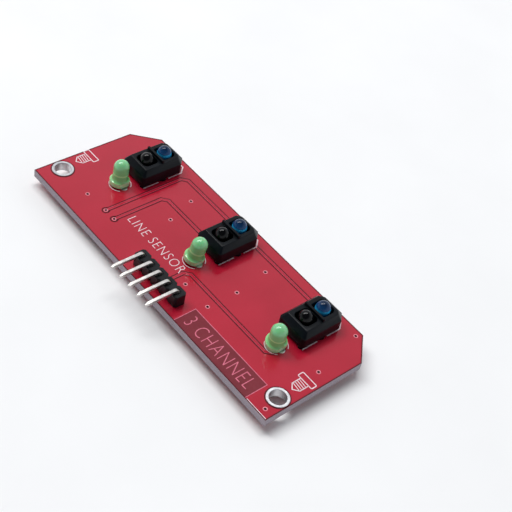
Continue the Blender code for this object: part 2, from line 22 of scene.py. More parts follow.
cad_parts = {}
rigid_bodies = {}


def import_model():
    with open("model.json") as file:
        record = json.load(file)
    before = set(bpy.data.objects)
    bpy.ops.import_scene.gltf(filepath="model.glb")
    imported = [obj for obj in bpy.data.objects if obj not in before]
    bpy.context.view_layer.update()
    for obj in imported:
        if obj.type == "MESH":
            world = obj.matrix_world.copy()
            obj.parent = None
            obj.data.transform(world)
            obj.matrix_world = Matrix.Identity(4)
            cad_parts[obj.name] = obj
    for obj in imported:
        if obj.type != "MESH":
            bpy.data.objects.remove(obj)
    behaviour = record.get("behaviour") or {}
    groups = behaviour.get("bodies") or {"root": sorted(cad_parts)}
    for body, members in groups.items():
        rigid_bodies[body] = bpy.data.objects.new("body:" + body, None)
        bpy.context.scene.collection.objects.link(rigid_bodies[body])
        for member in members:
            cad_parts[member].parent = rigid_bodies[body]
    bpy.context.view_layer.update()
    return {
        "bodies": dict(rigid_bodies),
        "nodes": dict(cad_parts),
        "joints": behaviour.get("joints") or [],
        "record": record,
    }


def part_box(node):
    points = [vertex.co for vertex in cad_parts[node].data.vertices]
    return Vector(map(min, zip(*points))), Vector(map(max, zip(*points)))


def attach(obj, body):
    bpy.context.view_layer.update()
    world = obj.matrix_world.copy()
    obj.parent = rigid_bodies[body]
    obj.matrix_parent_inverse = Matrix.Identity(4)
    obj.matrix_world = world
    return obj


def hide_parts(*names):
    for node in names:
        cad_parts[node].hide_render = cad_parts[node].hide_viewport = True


LOG = logging.getLogger("line_sensor_board")
MM = 0.001
BODY = "root"
CHANNELS = ("right", "centre", "left")
SMOOTH = math.radians(35)
# What a cutter or an addition runs past the face that it meets
OVERLAP = 0.2 * MM
# Points nearer than this are one point
MERGE = 0.0001 * MM
# The least cosine that a mitre divides by, so that a sharp corner grows no spike
SHARPEST = 0.4
# Octaves of the broad and of the fine noise
CLOUD_DETAIL = 3.0
GRAIN_DETAIL = 2.0
# Where between the noise's lowest and highest value one tone turns into the other
TONE_SPAN = (0.3, 0.7)
# A wave texture of scale one repeats after this many metres
WAVE_REPEAT = math.pi / 10
# Faces from the crown of a dome to its shoulder
CROWN_STEPS = 12
# Printed letters: what their strokes lose on each side, their spacing and the faces in each curve
LETTER_TRIM = -0.02
LETTER_SPACING = 1.12
LETTER_STEPS = 4

Points = Sequence[tuple[float, float]]
# Points with a third number: a height, a diameter or a share
Triples = Sequence[tuple[float, float, float]]


def linear(code: str) -> tuple[float, float, float, float]:
    """Turn an sRGB hex code into the linear colour that a shader takes.

    Args:
        code: Six hex digits, with or without a leading hash.

    Returns:
        Red, green, blue and an alpha of one.
    """
    digits = code.lstrip("#")
    shares = [int(digits[i : i + 2], 16) / 255 for i in (0, 2, 4)]
    red, green, blue = (s / 12.92 if s <= 0.04045 else ((s + 0.055) / 1.055) ** 2.4 for s in shares)
    return (red, green, blue, 1.0)


def add_node(
    tree: bpy.types.NodeTree,
    kind: str,
    inputs: dict[str | int, object] | None = None,
    **settings: object,
) -> bpy.types.Node:
    """Add a node with its settings and its links.

    Args:
        tree: The node tree that takes it.
        kind: The node's type name.
        inputs: For each input, the value it holds or the output socket that feeds it.
        settings: Properties to set on the node itself.

    Returns:
        The new node.
    """
    node = tree.nodes.new(kind)
    for key, value in settings.items():
        setattr(node, key, value)
    for key, value in (inputs or {}).items():
        if isinstance(value, bpy.types.NodeSocket):
            tree.links.new(value, node.inputs[key])
        else:
            node.inputs[key].default_value = value
    return node


# --------------------------------------------------------------------------------------------------
# Finishes


@dataclass(frozen=True)
class Finish:
    """A material: what it is made of, and how its surface varies.

    The constants stay on the shader's own sockets. Two noises vary the surface: a broad one moves the
    colour between two tones and the roughness with it, and a fine one is the texture of the skin.
    """

    name: str
    slot: str
    colour: str
    shade: str
    roughness: float
    metallic: float = 0.0
    ior: float = 1.5
    specular: float = 0.5
    coat: float = 0.0
    transmission: float = 0.0
    subsurface: float = 0.0
    # Width of one cloud of the broad noise, and how far it moves the roughness
    cloud_mm: float = 4.0
    roughness_spread: float = 0.06
    # Width of one grain of the skin, and how deep the grain is
    grain_mm: float = 0.3
    grain_depth_mm: float = 0.0

    def make(self) -> bpy.types.Material:
        """Make the Blender material.

        Returns:
            The material, its colour, roughness and normal fed by nodes.
        """
        made = bpy.data.materials.new(self.name)
        made.use_nodes = True
        tree = made.node_tree
        shader = tree.nodes["Principled BSDF"]
        shader.inputs["Metallic"].default_value = self.metallic
        if not self.metallic:
            shader.inputs["IOR"].default_value = self.ior
            shader.inputs["Specular IOR Level"].default_value = self.specular
        shader.inputs["Coat Weight"].default_value = self.coat
        shader.inputs["Transmission Weight"].default_value = self.transmission
        shader.inputs["Subsurface Weight"].default_value = self.subsurface
        shader.inputs["Subsurface Scale"].default_value = 1.0 * MM
        place = add_node(tree, "ShaderNodeTexCoord").outputs["Object"]
        self.dress(tree, shader, place)
        return made

    def dress(
        self, tree: bpy.types.NodeTree, shader: bpy.types.Node, place: bpy.types.NodeSocket
    ) -> None:
        """Feed the shader with the broad and the fine noise.

        Args:
            tree: The material's node tree.
            shader: Its Principled shader.
            place: The point's place, in metres.
        """
        cloud = self.noise(tree, place, self.cloud_mm, CLOUD_DETAIL)
        tree.links.new(self.tones(tree, cloud), shader.inputs["Base Color"])
        self.vary_roughness(tree, shader, cloud)
        if self.grain_depth_mm:
            grain = self.noise(tree, place, self.grain_mm, GRAIN_DETAIL)
            tree.links.new(self.bump(tree, grain, self.grain_depth_mm), shader.inputs["Normal"])

    def noise(
        self, tree: bpy.types.NodeTree, place: bpy.types.NodeSocket, width_mm: float, detail: float
    ) -> bpy.types.NodeSocket:
        """A noise whose clouds are as wide as the given size in millimetres."""
        inputs = {"Vector": place, "Scale": 1.0 / (width_mm * MM), "Detail": detail}
        return add_node(tree, "ShaderNodeTexNoise", inputs).outputs["Fac"]

    def tones(
        self, tree: bpy.types.NodeTree, share: bpy.types.NodeSocket
    ) -> bpy.types.NodeSocket:
        """The finish's two tones mixed by a share.

        Args:
            tree: The material's node tree.
            share: The share of the lighter tone.

        Returns:
            The mixed colour.
        """
        ramp = add_node(tree, "ShaderNodeValToRGB", {"Fac": share})
        ramp.color_ramp.elements[0].position, ramp.color_ramp.elements[1].position = TONE_SPAN
        ramp.color_ramp.elements[0].color = linear(self.shade)
        ramp.color_ramp.elements[1].color = linear(self.colour)
        return ramp.outputs["Color"]

    def vary_roughness(
        self, tree: bpy.types.NodeTree, shader: bpy.types.Node, share: bpy.types.NodeSocket
    ) -> None:
        """Move the roughness round its middle value with a share.

        Args:
            tree: The material's node tree.
            shader: Its Principled shader.
            share: Where in its spread the roughness lies.
        """
        span = add_node(
            tree,
            "ShaderNodeMapRange",
            {
                "Value": share,
                "To Min": max(0.02, self.roughness - self.roughness_spread),
                "To Max": min(1.0, self.roughness + self.roughness_spread),
            },
        )
        tree.links.new(span.outputs["Result"], shader.inputs["Roughness"])

    def bump(
        self, tree: bpy.types.NodeTree, height: bpy.types.NodeSocket, depth_mm: float
    ) -> bpy.types.NodeSocket:
        """A normal from a height that spans the given depth in millimetres."""
        inputs = {"Height": height, "Strength": 1.0, "Distance": depth_mm * MM}
        return add_node(tree, "ShaderNodeBump", inputs).outputs["Normal"]


@dataclass(frozen=True)
class MaskFinish(Finish):
    """Cured liquid solder mask: the glass weave under it telegraphs through as a faint grid."""

    # Pitch of the glass bundles; a real cloth has one about every 0.5 mm, drawn coarser so that it shows
    weave_mm: float = 0.9
    weave_depth_mm: float = 0.001

    def dress(
        self, tree: bpy.types.NodeTree, shader: bpy.types.Node, place: bpy.types.NodeSocket
    ) -> None:
        """Add the weave under the mask's own orange peel.

        Args:
            tree: The material's node tree.
            shader: Its Principled shader.
            place: The point's place, in metres.
        """
        cloud = self.noise(tree, place, self.cloud_mm, CLOUD_DETAIL + 1.0)
        tree.links.new(self.tones(tree, cloud), shader.inputs["Base Color"])
        self.vary_roughness(tree, shader, cloud)
        bands = []
        for direction in ("X", "Y"):
            wave = add_node(
                tree,
                "ShaderNodeTexWave",
                {"Vector": place, "Scale": WAVE_REPEAT / (self.weave_mm * MM), "Distortion": 0.4},
                bands_direction=direction,
            )
            bands.append(wave.outputs["Fac"])
        weave = add_node(tree, "ShaderNodeMath", {0: bands[0], 1: bands[1]}, operation="MULTIPLY")
        peel = self.noise(tree, place, self.grain_mm, GRAIN_DETAIL)
        both = add_node(
            tree,
            "ShaderNodeMath",
            {0: peel, 1: self.weave_depth_mm / self.grain_depth_mm, 2: weave.outputs[0]},
            operation="MULTIPLY_ADD",
        )
        tree.links.new(self.bump(tree, both.outputs[0], self.grain_depth_mm), shader.inputs["Normal"])


@dataclass(frozen=True)
class LaminateFinish(Finish):
    """The sawn edge of glass-epoxy board: fine level lines where the cloth layers end."""

    # Height of one cloth layer
    layer_mm: float = 0.2

    def dress(
        self, tree: bpy.types.NodeTree, shader: bpy.types.Node, place: bpy.types.NodeSocket
    ) -> None:
        """Draw the layers and the saw's scratches.

        Args:
            tree: The material's node tree.
            shader: Its Principled shader.
            place: The point's place, in metres.
        """
        layers = add_node(
            tree,
            "ShaderNodeTexWave",
            {
                "Vector": place,
                "Scale": WAVE_REPEAT / (self.layer_mm * MM),
                "Distortion": 0.8,
                "Detail": 2.0,
                "Detail Scale": 1.0,
            },
            bands_direction="Z",
        ).outputs["Fac"]
        tree.links.new(self.tones(tree, layers), shader.inputs["Base Color"])
        self.vary_roughness(tree, shader, layers)
        tree.links.new(self.bump(tree, layers, self.grain_depth_mm), shader.inputs["Normal"])


@dataclass(frozen=True)
class BandedFinish(Finish):
    """Cast epoxy coloured by height along its own axis, each stop a height in millimetres and its colour; the
    stops paint in bands of glow and highlight.
    """

    stops: tuple[tuple[float, str], ...] = ()
    top_mm: float = 5.3
    # How far the bands wander up and down
    wander_mm: float = 0.25

    def dress(
        self, tree: bpy.types.NodeTree, shader: bpy.types.Node, place: bpy.types.NodeSocket
    ) -> None:
        """Colour the casting by height above its own base.

        Args:
            tree: The material's node tree.
            shader: Its Principled shader.
            place: The point's place in the casting's own axes, in metres.
        """
        height = add_node(tree, "ShaderNodeSeparateXYZ", {0: place}).outputs["Z"]
        swirl = self.noise(tree, place, self.cloud_mm, GRAIN_DETAIL)
        wander = add_node(
            tree, "ShaderNodeMath", {0: swirl, 1: self.wander_mm * MM, 2: height}, operation="MULTIPLY_ADD"
        )
        share = add_node(
            tree, "ShaderNodeMapRange", {"Value": wander.outputs[0], "From Max": self.top_mm * MM}
        )
        ramp = add_node(tree, "ShaderNodeValToRGB", {"Fac": share.outputs["Result"]})
        elements = ramp.color_ramp.elements
        while len(elements) < len(self.stops):
            elements.new(0.5)
        for element, (at, code) in zip(elements, self.stops):
            element.position = at / self.top_mm
            element.color = linear(code)
        tree.links.new(ramp.outputs["Color"], shader.inputs["Base Color"])
        self.vary_roughness(tree, shader, swirl)
        if self.grain_depth_mm:
            grain = self.noise(tree, place, self.grain_mm, GRAIN_DETAIL)
            tree.links.new(self.bump(tree, grain, self.grain_depth_mm), shader.inputs["Normal"])


class Finishes(Enum):
    """Every finish on the board, made once each."""

    # Liquid solder mask over copper, cured to a glaze: deep gloss red with soft wet highlights
    MASK = MaskFinish(
        "solder_mask_over_copper", "solder_mask", "#B51430", "#AB112B", 0.2,
        coat=0.15, cloud_mm=9.0, roughness_spread=0.04, grain_mm=0.8, grain_depth_mm=0.003,
    )
    # Painted highlight: a paler, pinker line where the mask climbs a copper edge
    MASK_RIM_HIGHLIGHT = MaskFinish(
        "solder_mask_copper_edge_painted_highlight", "solder_mask", "#CC3F58", "#BF304A", 0.3,
        coat=0.3, cloud_mm=3.0, grain_mm=0.6, grain_depth_mm=0.004,
    )
    # The same mask over bare laminate, in the gaps beside the tracks: no copper behind it, so it is darker
    MASK_BARE = MaskFinish(
        "solder_mask_over_laminate", "solder_mask", "#5C0A18", "#4C0713", 0.3,
        specular=0.2, cloud_mm=5.0, grain_mm=0.6, grain_depth_mm=0.005,
    )
    # Painted highlight: a pale pink ring round a via, where the mask lies over the copper lip
    MASK_VIA_HIGHLIGHT = MaskFinish(
        "solder_mask_via_lip_painted_highlight", "solder_mask", "#E58592", "#D4707F", 0.3,
        coat=0.2, cloud_mm=1.0, grain_mm=0.4, grain_depth_mm=0.003,
    )
    # The wide unpoured fields on the board, dark wine red
    MASK_FIELD = MaskFinish(
        "solder_mask_over_laminate_field", "solder_mask", "#7A1225", "#6C0D1E", 0.32,
        specular=0.35, cloud_mm=6.0, grain_mm=0.7, grain_depth_mm=0.006,
    )
    # Glass-epoxy laminate, sawn: a dull lilac grey edge with fine level lines
    LAMINATE = LaminateFinish(
        "glass_epoxy_laminate_sawn", "board_core", "#ABA0A9", "#81747D", 0.62,
        roughness_spread=0.1, grain_depth_mm=0.006,
    )
    # Hot-air levelled tin on copper: bright, a little uneven where it froze
    TINNED = Finish(
        "copper_hot_air_tinned", "plated_copper", "#E6E6E8", "#D0D1D4", 0.3, metallic=1.0,
        cloud_mm=1.2, grain_mm=0.5, grain_depth_mm=0.012,
    )
    # Tinned steel lead wire, clipped: bright with drawn streaks too fine to see one by one
    LEAD = Finish(
        "steel_wire_tinned", "lead_tin", "#DCD8D2", "#AFAAA6", 0.27, metallic=1.0,
        cloud_mm=0.5, grain_mm=0.12, grain_depth_mm=0.004,
    )
    # Brass header pin, tin plated: bright and slightly warm
    PIN = Finish(
        "brass_pin_tinned", "lead_tin", "#E2DEDA", "#C9C5C1", 0.32, metallic=1.0,
        cloud_mm=0.8, grain_mm=0.15, grain_depth_mm=0.003,
    )
    # Reflowed tin solder: bright silver, frozen in small ripples
    SOLDER = Finish(
        "solder_reflowed", "solder", "#D4D5D8", "#9B9DA2", 0.22, metallic=1.0,
        cloud_mm=0.7, roughness_spread=0.1, grain_mm=0.35, grain_depth_mm=0.03,
    )
    # Epoxy legend ink, screen printed: flat pinkish white, thin where the red shows through
    LEGEND = Finish(
        "epoxy_ink_screen_printed", "legend_ink", "#F1E3E6", "#DDBFC6", 0.55,
        cloud_mm=0.5, grain_mm=0.15, grain_depth_mm=0.006,
    )
    # The same ink printed thin on dark laminate: dull rose
    LEGEND_THIN = Finish(
        "epoxy_ink_thin_print", "legend_ink", "#DD6F88", "#C4536C", 0.5,
        cloud_mm=0.5, grain_mm=0.15, grain_depth_mm=0.005,
    )
    # Glass-filled nylon, moulded in an eroded tool: near black with a satin skin
    SENSOR_SHELL = Finish(
        "glass_filled_nylon_moulded", "sensor_plastic", "#070C13", "#03060A", 0.3,
        specular=0.17, cloud_mm=2.0, roughness_spread=0.06, grain_mm=0.22, grain_depth_mm=0.008,
    )
    # Heat-proof nylon, moulded: flat black, a coarser skin than the sensors'
    HEADER_SHELL = Finish(
        "heatproof_nylon_moulded", "header_plastic", "#0A0E15", "#05070A", 0.34,
        specular=0.25, cloud_mm=1.5, grain_mm=0.2, grain_depth_mm=0.015,
    )
    # Blue-dyed clear epoxy, cast: deep blue crown, and low on the dome a bright cyan band of painted glow,
    # the light refracted up from the well's rim
    EMITTER = BandedFinish(
        "blue_epoxy_cast", "emitter_epoxy", "#1D6FB8", "#123F6E", 0.12,
        ior=1.54, specular=0.2, transmission=0.1, cloud_mm=1.5, roughness_spread=0.02,
        top_mm=3.85,
        # The bright cyan stop is painted glow
        stops=(
            (0.0, "#06213F"), (2.1, "#0F7FC4"), (2.65, "#35BDF7"), (2.95, "#114A80"), (3.85, "#0B2443"),
        ),
    )
    # Daylight-blocking epoxy, cast: looks black, with one sharp highlight
    DETECTOR = Finish(
        "daylight_blocking_epoxy_cast", "detector_epoxy", "#050406", "#020203", 0.12,
        ior=1.54, specular=0.2, cloud_mm=1.5, roughness_spread=0.02,
    )
    # Green diffused epoxy, cast: milky, paler towards the flange; the bright bands at 0.9 mm and 2.6 mm are
    # painted highlights, the flange's top edge and the reflection of the metal frame inside
    INDICATOR = BandedFinish(
        "green_epoxy_diffused_cast", "indicator_epoxy", "#5DAA70", "#4E9A60", 0.2,
        ior=1.52, coat=0.4, transmission=0.05, subsurface=0.3, cloud_mm=1.2, roughness_spread=0.04,
        # The pale stops at 0.9 mm and 2.6 mm are painted highlights
        stops=(
            (0.0, "#98D494"), (0.9, "#BDE8B4"), (1.2, "#80C97E"), (2.3, "#76C67E"), (2.6, "#B0E6A0"),
            (2.9, "#7CCB86"), (5.2, "#7ECB8F"),
        ),
    )
    # Filled black epoxy, transfer moulded: slate grey, dry and even
    CHIP_BODY = Finish(
        "filled_epoxy_transfer_moulded", "chip_epoxy", "#3A4450", "#2C343F", 0.5,
        cloud_mm=2.0, grain_mm=0.14, grain_depth_mm=0.008,
    )
    # Alumina substrate of a thick-film resistor: fired white
    ALUMINA = Finish(
        "alumina_fired", "resistor_glaze", "#E6E3DE", "#D2CEC8", 0.5,
        cloud_mm=0.6, grain_mm=0.1, grain_depth_mm=0.005,
    )
    # Glass glaze over the resistor film: near black, wet looking
    GLAZE = Finish(
        "glass_glaze_fired", "resistor_glaze", "#26252B", "#1A191E", 0.2,
        coat=0.4, cloud_mm=0.6, grain_mm=0.2, grain_depth_mm=0.006,
    )
    # Barium titanate ceramic, fired: dull tan brown
    CERAMIC = Finish(
        "titanate_ceramic_fired", "capacitor_ceramic", "#8E7762", "#775F4C", 0.45,
        cloud_mm=0.6, grain_mm=0.15, grain_depth_mm=0.008,
    )
    # White reflector plastic of the power lamp, moulded
    LAMP_CUP = Finish(
        "white_reflector_plastic_moulded", "power_lamp", "#EEF2EE", "#DCE2DC", 0.4,
        cloud_mm=0.8, grain_mm=0.15, grain_depth_mm=0.006,
    )
    # Clear silicone fill of the power lamp: watery, slightly yellow-green
    LAMP_FILL = Finish(
        "clear_silicone_cast", "power_lamp", "#DDE9C8", "#CEDDB4", 0.08,
        ior=1.41, coat=0.5, transmission=0.4, cloud_mm=0.8, roughness_spread=0.02,
    )
    # Painted shade: a dark disc for the shaded inside of a via's drilled hole, seen from above
    VIA_HOLE_SHADE = Finish(
        "via_hole_painted_shade", "board_core", "#1A0407", "#0E0204", 0.7,
        specular=0.1, cloud_mm=0.5, grain_mm=0.2, grain_depth_mm=0.01,
    )
    # Matt card under the board: plain and pale
    CARD = Finish(
        "card_matt", "", "#F4F4F4", "#F0F0F0", 0.8,
        cloud_mm=30.0, grain_mm=0.6, grain_depth_mm=0.004,
    )

    @property
    def material(self) -> bpy.types.Material:
        """The Blender material, made when it is first asked for."""
        return bpy.data.materials.get(self.value.name) or self.value.make()


# --------------------------------------------------------------------------------------------------
# Making meshes


def scaled(points: Points, dx: float = 0.0, dy: float = 0.0) -> list[Vector]:
    """Turn millimetre points into metres, moved by an offset in metres."""
    return [Vector((x * MM + dx, y * MM + dy)) for x, y in points]


def arc(radius: float, start: float, end: float, steps: int = 12) -> list[tuple[float, float]]:
    """Points on an arc about the origin, its angles in degrees."""
    turns = [math.radians(start + (end - start) * i / steps) for i in range(steps + 1)]
    return [(radius * math.cos(turn), radius * math.sin(turn)) for turn in turns]


def rectangle(width: float, length: float, corner: float = 0.0, steps: int = 3) -> list[Vector]:
    """Outline of a rectangle about the origin, anticlockwise, its corners rounded.

    Args:
        width: Size in X.
        length: Size in Y.
        corner: Radius of the corners, or nothing for square ones.
        steps: Faces in each rounded corner.

    Returns:
        The points of the outline.
    """
    if corner <= 0.0:
        return [Vector((sx * width / 2, sy * length / 2)) for sx, sy in ((1, 1), (-1, 1), (-1, -1), (1, -1))]
    outline = []
    for i, (sx, sy) in enumerate(((1, 1), (-1, 1), (-1, -1), (1, -1))):
        middle = Vector((sx * (width / 2 - corner), sy * (length / 2 - corner)))
        outline += [middle + Vector(p) for p in arc(corner, 90 * i, 90 * i + 90, steps)]
    return outline


def mitres(points: Sequence[Vector], closed: bool) -> list[Vector]:
    """At each point of a line, the left-hand step that keeps a parallel line one unit away.

    Args:
        points: The line.
        closed: Whether its end joins its start.

    Returns:
        One step for each point.
    """
    count = len(points)
    steps = []
    for i, point in enumerate(points):
        before = points[i - 1] if i or closed else None
        after = points[(i + 1) % count] if i < count - 1 or closed else None
        legs = ((before, point), (point, after))
        ways = [(b - a).normalized() for a, b in legs if a is not None and b is not None]
        sides = [Vector((-way.y, way.x)) for way in ways]
        middle = sum(sides, Vector((0.0, 0.0))).normalized()
        steps.append(middle / max(SHARPEST, middle.dot(sides[0])))
    return steps


def face_axes(x: float, y: float, face: float, way: float) -> Matrix:
    """Axes on a face of the board, whose Z points away from it."""
    return Matrix.Translation((x, y, face)) @ Matrix.Diagonal((1.0, 1.0, way, 1.0))


class Blank:
    """A mesh being made from closed shells, each with its own finish."""

    def __init__(self, name: str) -> None:
        """Start an empty mesh with the piece's name.

        Args:
            name: The piece's name.
        """
        self.name = name
        self.bm = bmesh.new()
        self.materials: list[bpy.types.Material] = []

    def index(self, finish: Finishes) -> int:
        """The material index of a finish, which is added at its first use.

        Args:
            finish: The finish.

        Returns:
            Its index in the mesh.
        """
        material = finish.material
        if material not in self.materials:
            self.materials.append(material)
        return self.materials.index(material)

    def loft(
        self, rings: Sequence[Sequence[Vector]], finish: Finishes, closed: bool = False
    ) -> None:
        """Skin a row of rings and cap its ends.

        Args:
            rings: Rings of equal count, or of one point where the skin comes to a tip.
            finish: The skin's finish.
            closed: Whether the last ring joins the first, with no caps.
        """
        loops = [[self.bm.verts.new(point) for point in ring] for ring in rings]
        faces = []
        pairs = list(zip(loops, loops[1:] + loops[:1] if closed else loops[1:]))
        for low, high in pairs:
            count = max(len(low), len(high))
            for i in range(count):
                j = (i + 1) % count
                corners = [low[i % len(low)], low[j % len(low)], high[j % len(high)], high[i % len(high)]]
                faces.append(self.bm.faces.new(list(dict.fromkeys(corners))))
        if not closed:
            faces += [self.bm.faces.new(end) for end in (loops[0], loops[-1]) if len(end) > 2]
        index = self.index(finish)
        for face in faces:
            face.material_index = index

    def slab(
        self,
        outline: Sequence[Vector],
        low: float,
        high: float,
        finish: Finishes,
        edge: float = 0.0,
        at: tuple[float, float] = (0.0, 0.0),
    ) -> None:
        """A flat plate with softened edges.

        Args:
            outline: Its outline, anticlockwise.
            low: Height of its lower face.
            high: Height of its upper face.
            finish: Its finish.
            edge: Size of the flat along each edge.
            at: Where the outline's origin goes.
        """
        inward = mitres(outline, closed=True)
        heights = [(low, edge), (low + edge, 0.0), (high - edge, 0.0), (high, edge)]
        if not edge:
            heights = [(low, 0.0), (high, 0.0)]
        shift = Vector(at)
        self.loft(
            [[(*(p + n * inset + shift), z) for p, n in zip(outline, inward)] for z, inset in heights],
            finish,
        )

    def turned(
        self,
        profile: Points,
        finish: Finishes,
        at: Matrix = Matrix.Identity(4),
        steps: int = 40,
        bored: bool = False,
        flat: float | None = None,
    ) -> None:
        """A solid turned about Z from a profile.

        Args:
            profile: Its (radius, height) points, in metres.
            finish: Its finish.
            at: Where its own axes go.
            steps: Faces round it.
            bored: Whether the profile closes on itself, as that of a ring does.
            flat: Where a flat cuts it on its +X side, if one does.
        """
        rings = []
        for radius, height in profile:
            if radius <= 0.0:
                rings.append([at @ Vector((0.0, 0.0, height))])
                continue
            circle = [(radius * math.cos(a), radius * math.sin(a)) for a in self.turns(steps)]
            limit = radius if flat is None else flat
            rings.append([at @ Vector((min(x, limit), y, height)) for x, y in circle])
        self.loft(rings, finish, closed=bored)

    @staticmethod
    def turns(steps: int) -> list[float]:
        """Equal angles round a circle."""
        return [2 * math.pi * i / steps for i in range(steps)]

    def ribbon(
        self,
        points: Sequence[Vector],
        width: float,
        low: float,
        high: float,
        finish: Finishes,
        closed: bool = False,
        shoulder: float = 0.0,
    ) -> None:
        """A flat strip of even width along a line.

        Args:
            points: The line down its middle.
            width: Its width.
            low: Height of the face that it stands on.
            high: Height of its other face.
            finish: Its finish.
            closed: Whether its end joins its start.
            shoulder: How far its sides lean in towards the other face.
        """
        half = width / 2
        rings = []
        for point, step in zip(points, mitres(points, closed)):
            rings.append([
                (*(point + step * side), z)
                for side, z in ((half, low), (-half, low), (shoulder - half, high), (half - shoulder, high))
            ])
        self.loft(rings, finish, closed=closed)

    def swept(
        self,
        path: Sequence[Vector],
        section: Sequence[Vector],
        finish: Finishes,
        shares: Sequence[float] | None = None,
    ) -> None:
        """A bar whose path keeps to one plane across X.

        Args:
            path: Points of its middle line, all at one X.
            section: Outline of its section, X across the plane.
            finish: Its finish.
            shares: Scale of the section at each point.
        """
        rings = []
        for i, point in enumerate(path):
            before, after = path[max(i - 1, 0)], path[min(i + 1, len(path) - 1)]
            legs = [leg.normalized() for leg in (point - before, after - point) if leg.length > 0.0]
            way = sum(legs, Vector((0.0, 0.0, 0.0))).normalized()
            across = way.cross(Vector((1.0, 0.0, 0.0)))
            stretch = 1.0 / max(SHARPEST, way.dot(legs[0]))
            share = shares[i] if shares else 1.0
            rings.append([
                point + Vector((s.x * share, 0.0, 0.0)) + across * (s.y * share * stretch) for s in section
            ])
        self.loft(rings, finish)

    def lettering(
        self,
        words: str,
        size: tuple[float, float],
        at: tuple[float, float, float],
        finish: Finishes,
        turn: float = 0.0,
        below: bool = False,
        thickness: float = 0.015 * MM,
    ) -> None:
        """Printed words that fill a box.

        Args:
            words: What is printed.
            size: Width and height of the box, along and across the words.
            at: Its middle, on the face that it is printed on.
            finish: The ink.
            turn: How far the words are turned on that face, in degrees.
            below: Whether they are read from below.
            thickness: How thick the ink is.
        """
        curve = bpy.data.curves.new(self.name + "_words", "FONT")
        curve.body = words
        # Any thickness, which the fit below then scales
        curve.extrude = 0.5
        curve.offset = LETTER_TRIM
        curve.space_character = LETTER_SPACING
        curve.resolution_u = LETTER_STEPS
        text = bpy.data.objects.new(curve.name, curve)
        bpy.context.scene.collection.objects.link(text)
        bpy.context.view_layer.update()
        mesh = bpy.data.meshes.new_from_object(text.evaluated_get(bpy.context.evaluated_depsgraph_get()))
        bpy.data.objects.remove(text, do_unlink=True)
        spots = [vert.co for vert in mesh.vertices]
        low = Vector([min(spot[i] for spot in spots) for i in range(3)])
        high = Vector([max(spot[i] for spot in spots) for i in range(3)])
        span = high - low
        fit = Matrix.Diagonal((size[0] / span.x, size[1] / span.y, thickness / span.z, 1.0))
        over = Matrix.Rotation(math.pi, 4, "X") if below else Matrix.Identity(4)
        rise = Matrix.Translation((0.0, 0.0, thickness / 2))
        spin = Matrix.Rotation(math.radians(turn), 4, "Z")
        centred = Matrix.Translation(-(low + high) / 2)
        mesh.transform(Matrix.Translation(at) @ over @ spin @ rise @ fit @ centred)
        first = len(self.bm.faces)
        self.bm.from_mesh(mesh)
        bpy.data.meshes.remove(mesh)
        index = self.index(finish)
        self.bm.faces.ensure_lookup_table()
        printed = self.bm.faces[first:]
        for face in printed:
            face.material_index = index
        verts = list(dict.fromkeys(vert for face in printed for vert in face.verts))
        bmesh.ops.remove_doubles(self.bm, verts=verts, dist=MERGE)

    def mesh(self) -> bpy.types.Mesh:
        """Close the mesh, with every face turned outwards.

        Returns:
            The mesh, with its finishes.
        """
        bmesh.ops.recalc_face_normals(self.bm, faces=self.bm.faces)
        mesh = bpy.data.meshes.new(self.name)
        self.bm.to_mesh(mesh)
        self.bm.free()
        for material in self.materials:
            mesh.materials.append(material)
        mesh.shade_smooth()
        mesh.set_sharp_from_angle(angle=SMOOTH)
        return mesh

    def piece(self, slot: str, *replaced: str, at: Matrix = Matrix.Identity(4)) -> bpy.types.Object:
        """Put the finished mesh on the board.

        Args:
            slot: The record's material slot, passed on to settle; not used.
            replaced: CAD nodes that it stands for.
            at: Where its own axes go.

        Returns:
            The new object, which moves with the board.
        """
        return settle(self.mesh(), slot, *replaced, at=at)


def settle(
    mesh: bpy.types.Mesh, slot: str, *replaced: str, at: Matrix = Matrix.Identity(4)
) -> bpy.types.Object:
    """Show a mesh as a piece of the board.

    Args:
        mesh: The mesh, whose name the piece takes.
        slot: The record's material slot; not used.
        replaced: CAD nodes that it stands for.
        at: Where its own axes go.

    Returns:
        The new object, which moves with the board.
    """
    piece = bpy.data.objects.new(mesh.name, mesh)
    bpy.context.scene.collection.objects.link(piece)
    piece.matrix_world = at
    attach(piece, BODY)
    if replaced:
        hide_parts(*replaced)
    LOG.info("%s: %d faces", piece.name, len(mesh.polygons))
    return piece


def carve(block: Blank, tools: Iterable[tuple[Blank, str]]) -> bpy.types.Mesh:
    """Join solids to a block or cut them out of it.

    Args:
        block: What is carved.
        tools: Each solid with the Boolean operation that it takes part in.

    Returns:
        The carved mesh, with the block's finishes.
    """
    mesh = block.mesh()
    blank = bpy.data.objects.new(mesh.name + "_blank", mesh)
    bpy.context.scene.collection.objects.link(blank)
    helpers = [blank]
    for tool, operation in tools:
        helper = bpy.data.objects.new(tool.name, tool.mesh())
        bpy.context.scene.collection.objects.link(helper)
        helpers.append(helper)
        step = blank.modifiers.new(tool.name, "BOOLEAN")
        step.operation = operation
        step.object = helper
        step.solver = "EXACT"
        step.material_mode = "TRANSFER"
    bpy.context.view_layer.update()
    carved = bpy.data.meshes.new_from_object(blank.evaluated_get(bpy.context.evaluated_depsgraph_get()))
    for helper in helpers:
        bpy.data.objects.remove(helper, do_unlink=True)
    carved.name = block.name
    carved.shade_smooth()
    carved.set_sharp_from_angle(angle=SMOOTH)
    return carved


@dataclass(frozen=True)
class Extent:
    """Where a CAD node lies at rest."""

    low: Vector
    high: Vector

    @classmethod
    def of(cls, node: str) -> Extent:
        """The extent of a CAD node."""
        return cls(*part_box(node))

    @property
    def middle(self) -> Vector:
        """The centre of its box."""
        return (self.low + self.high) / 2

    @property
    def size(self) -> Vector:
        """The sides of its box."""
        return self.high - self.low


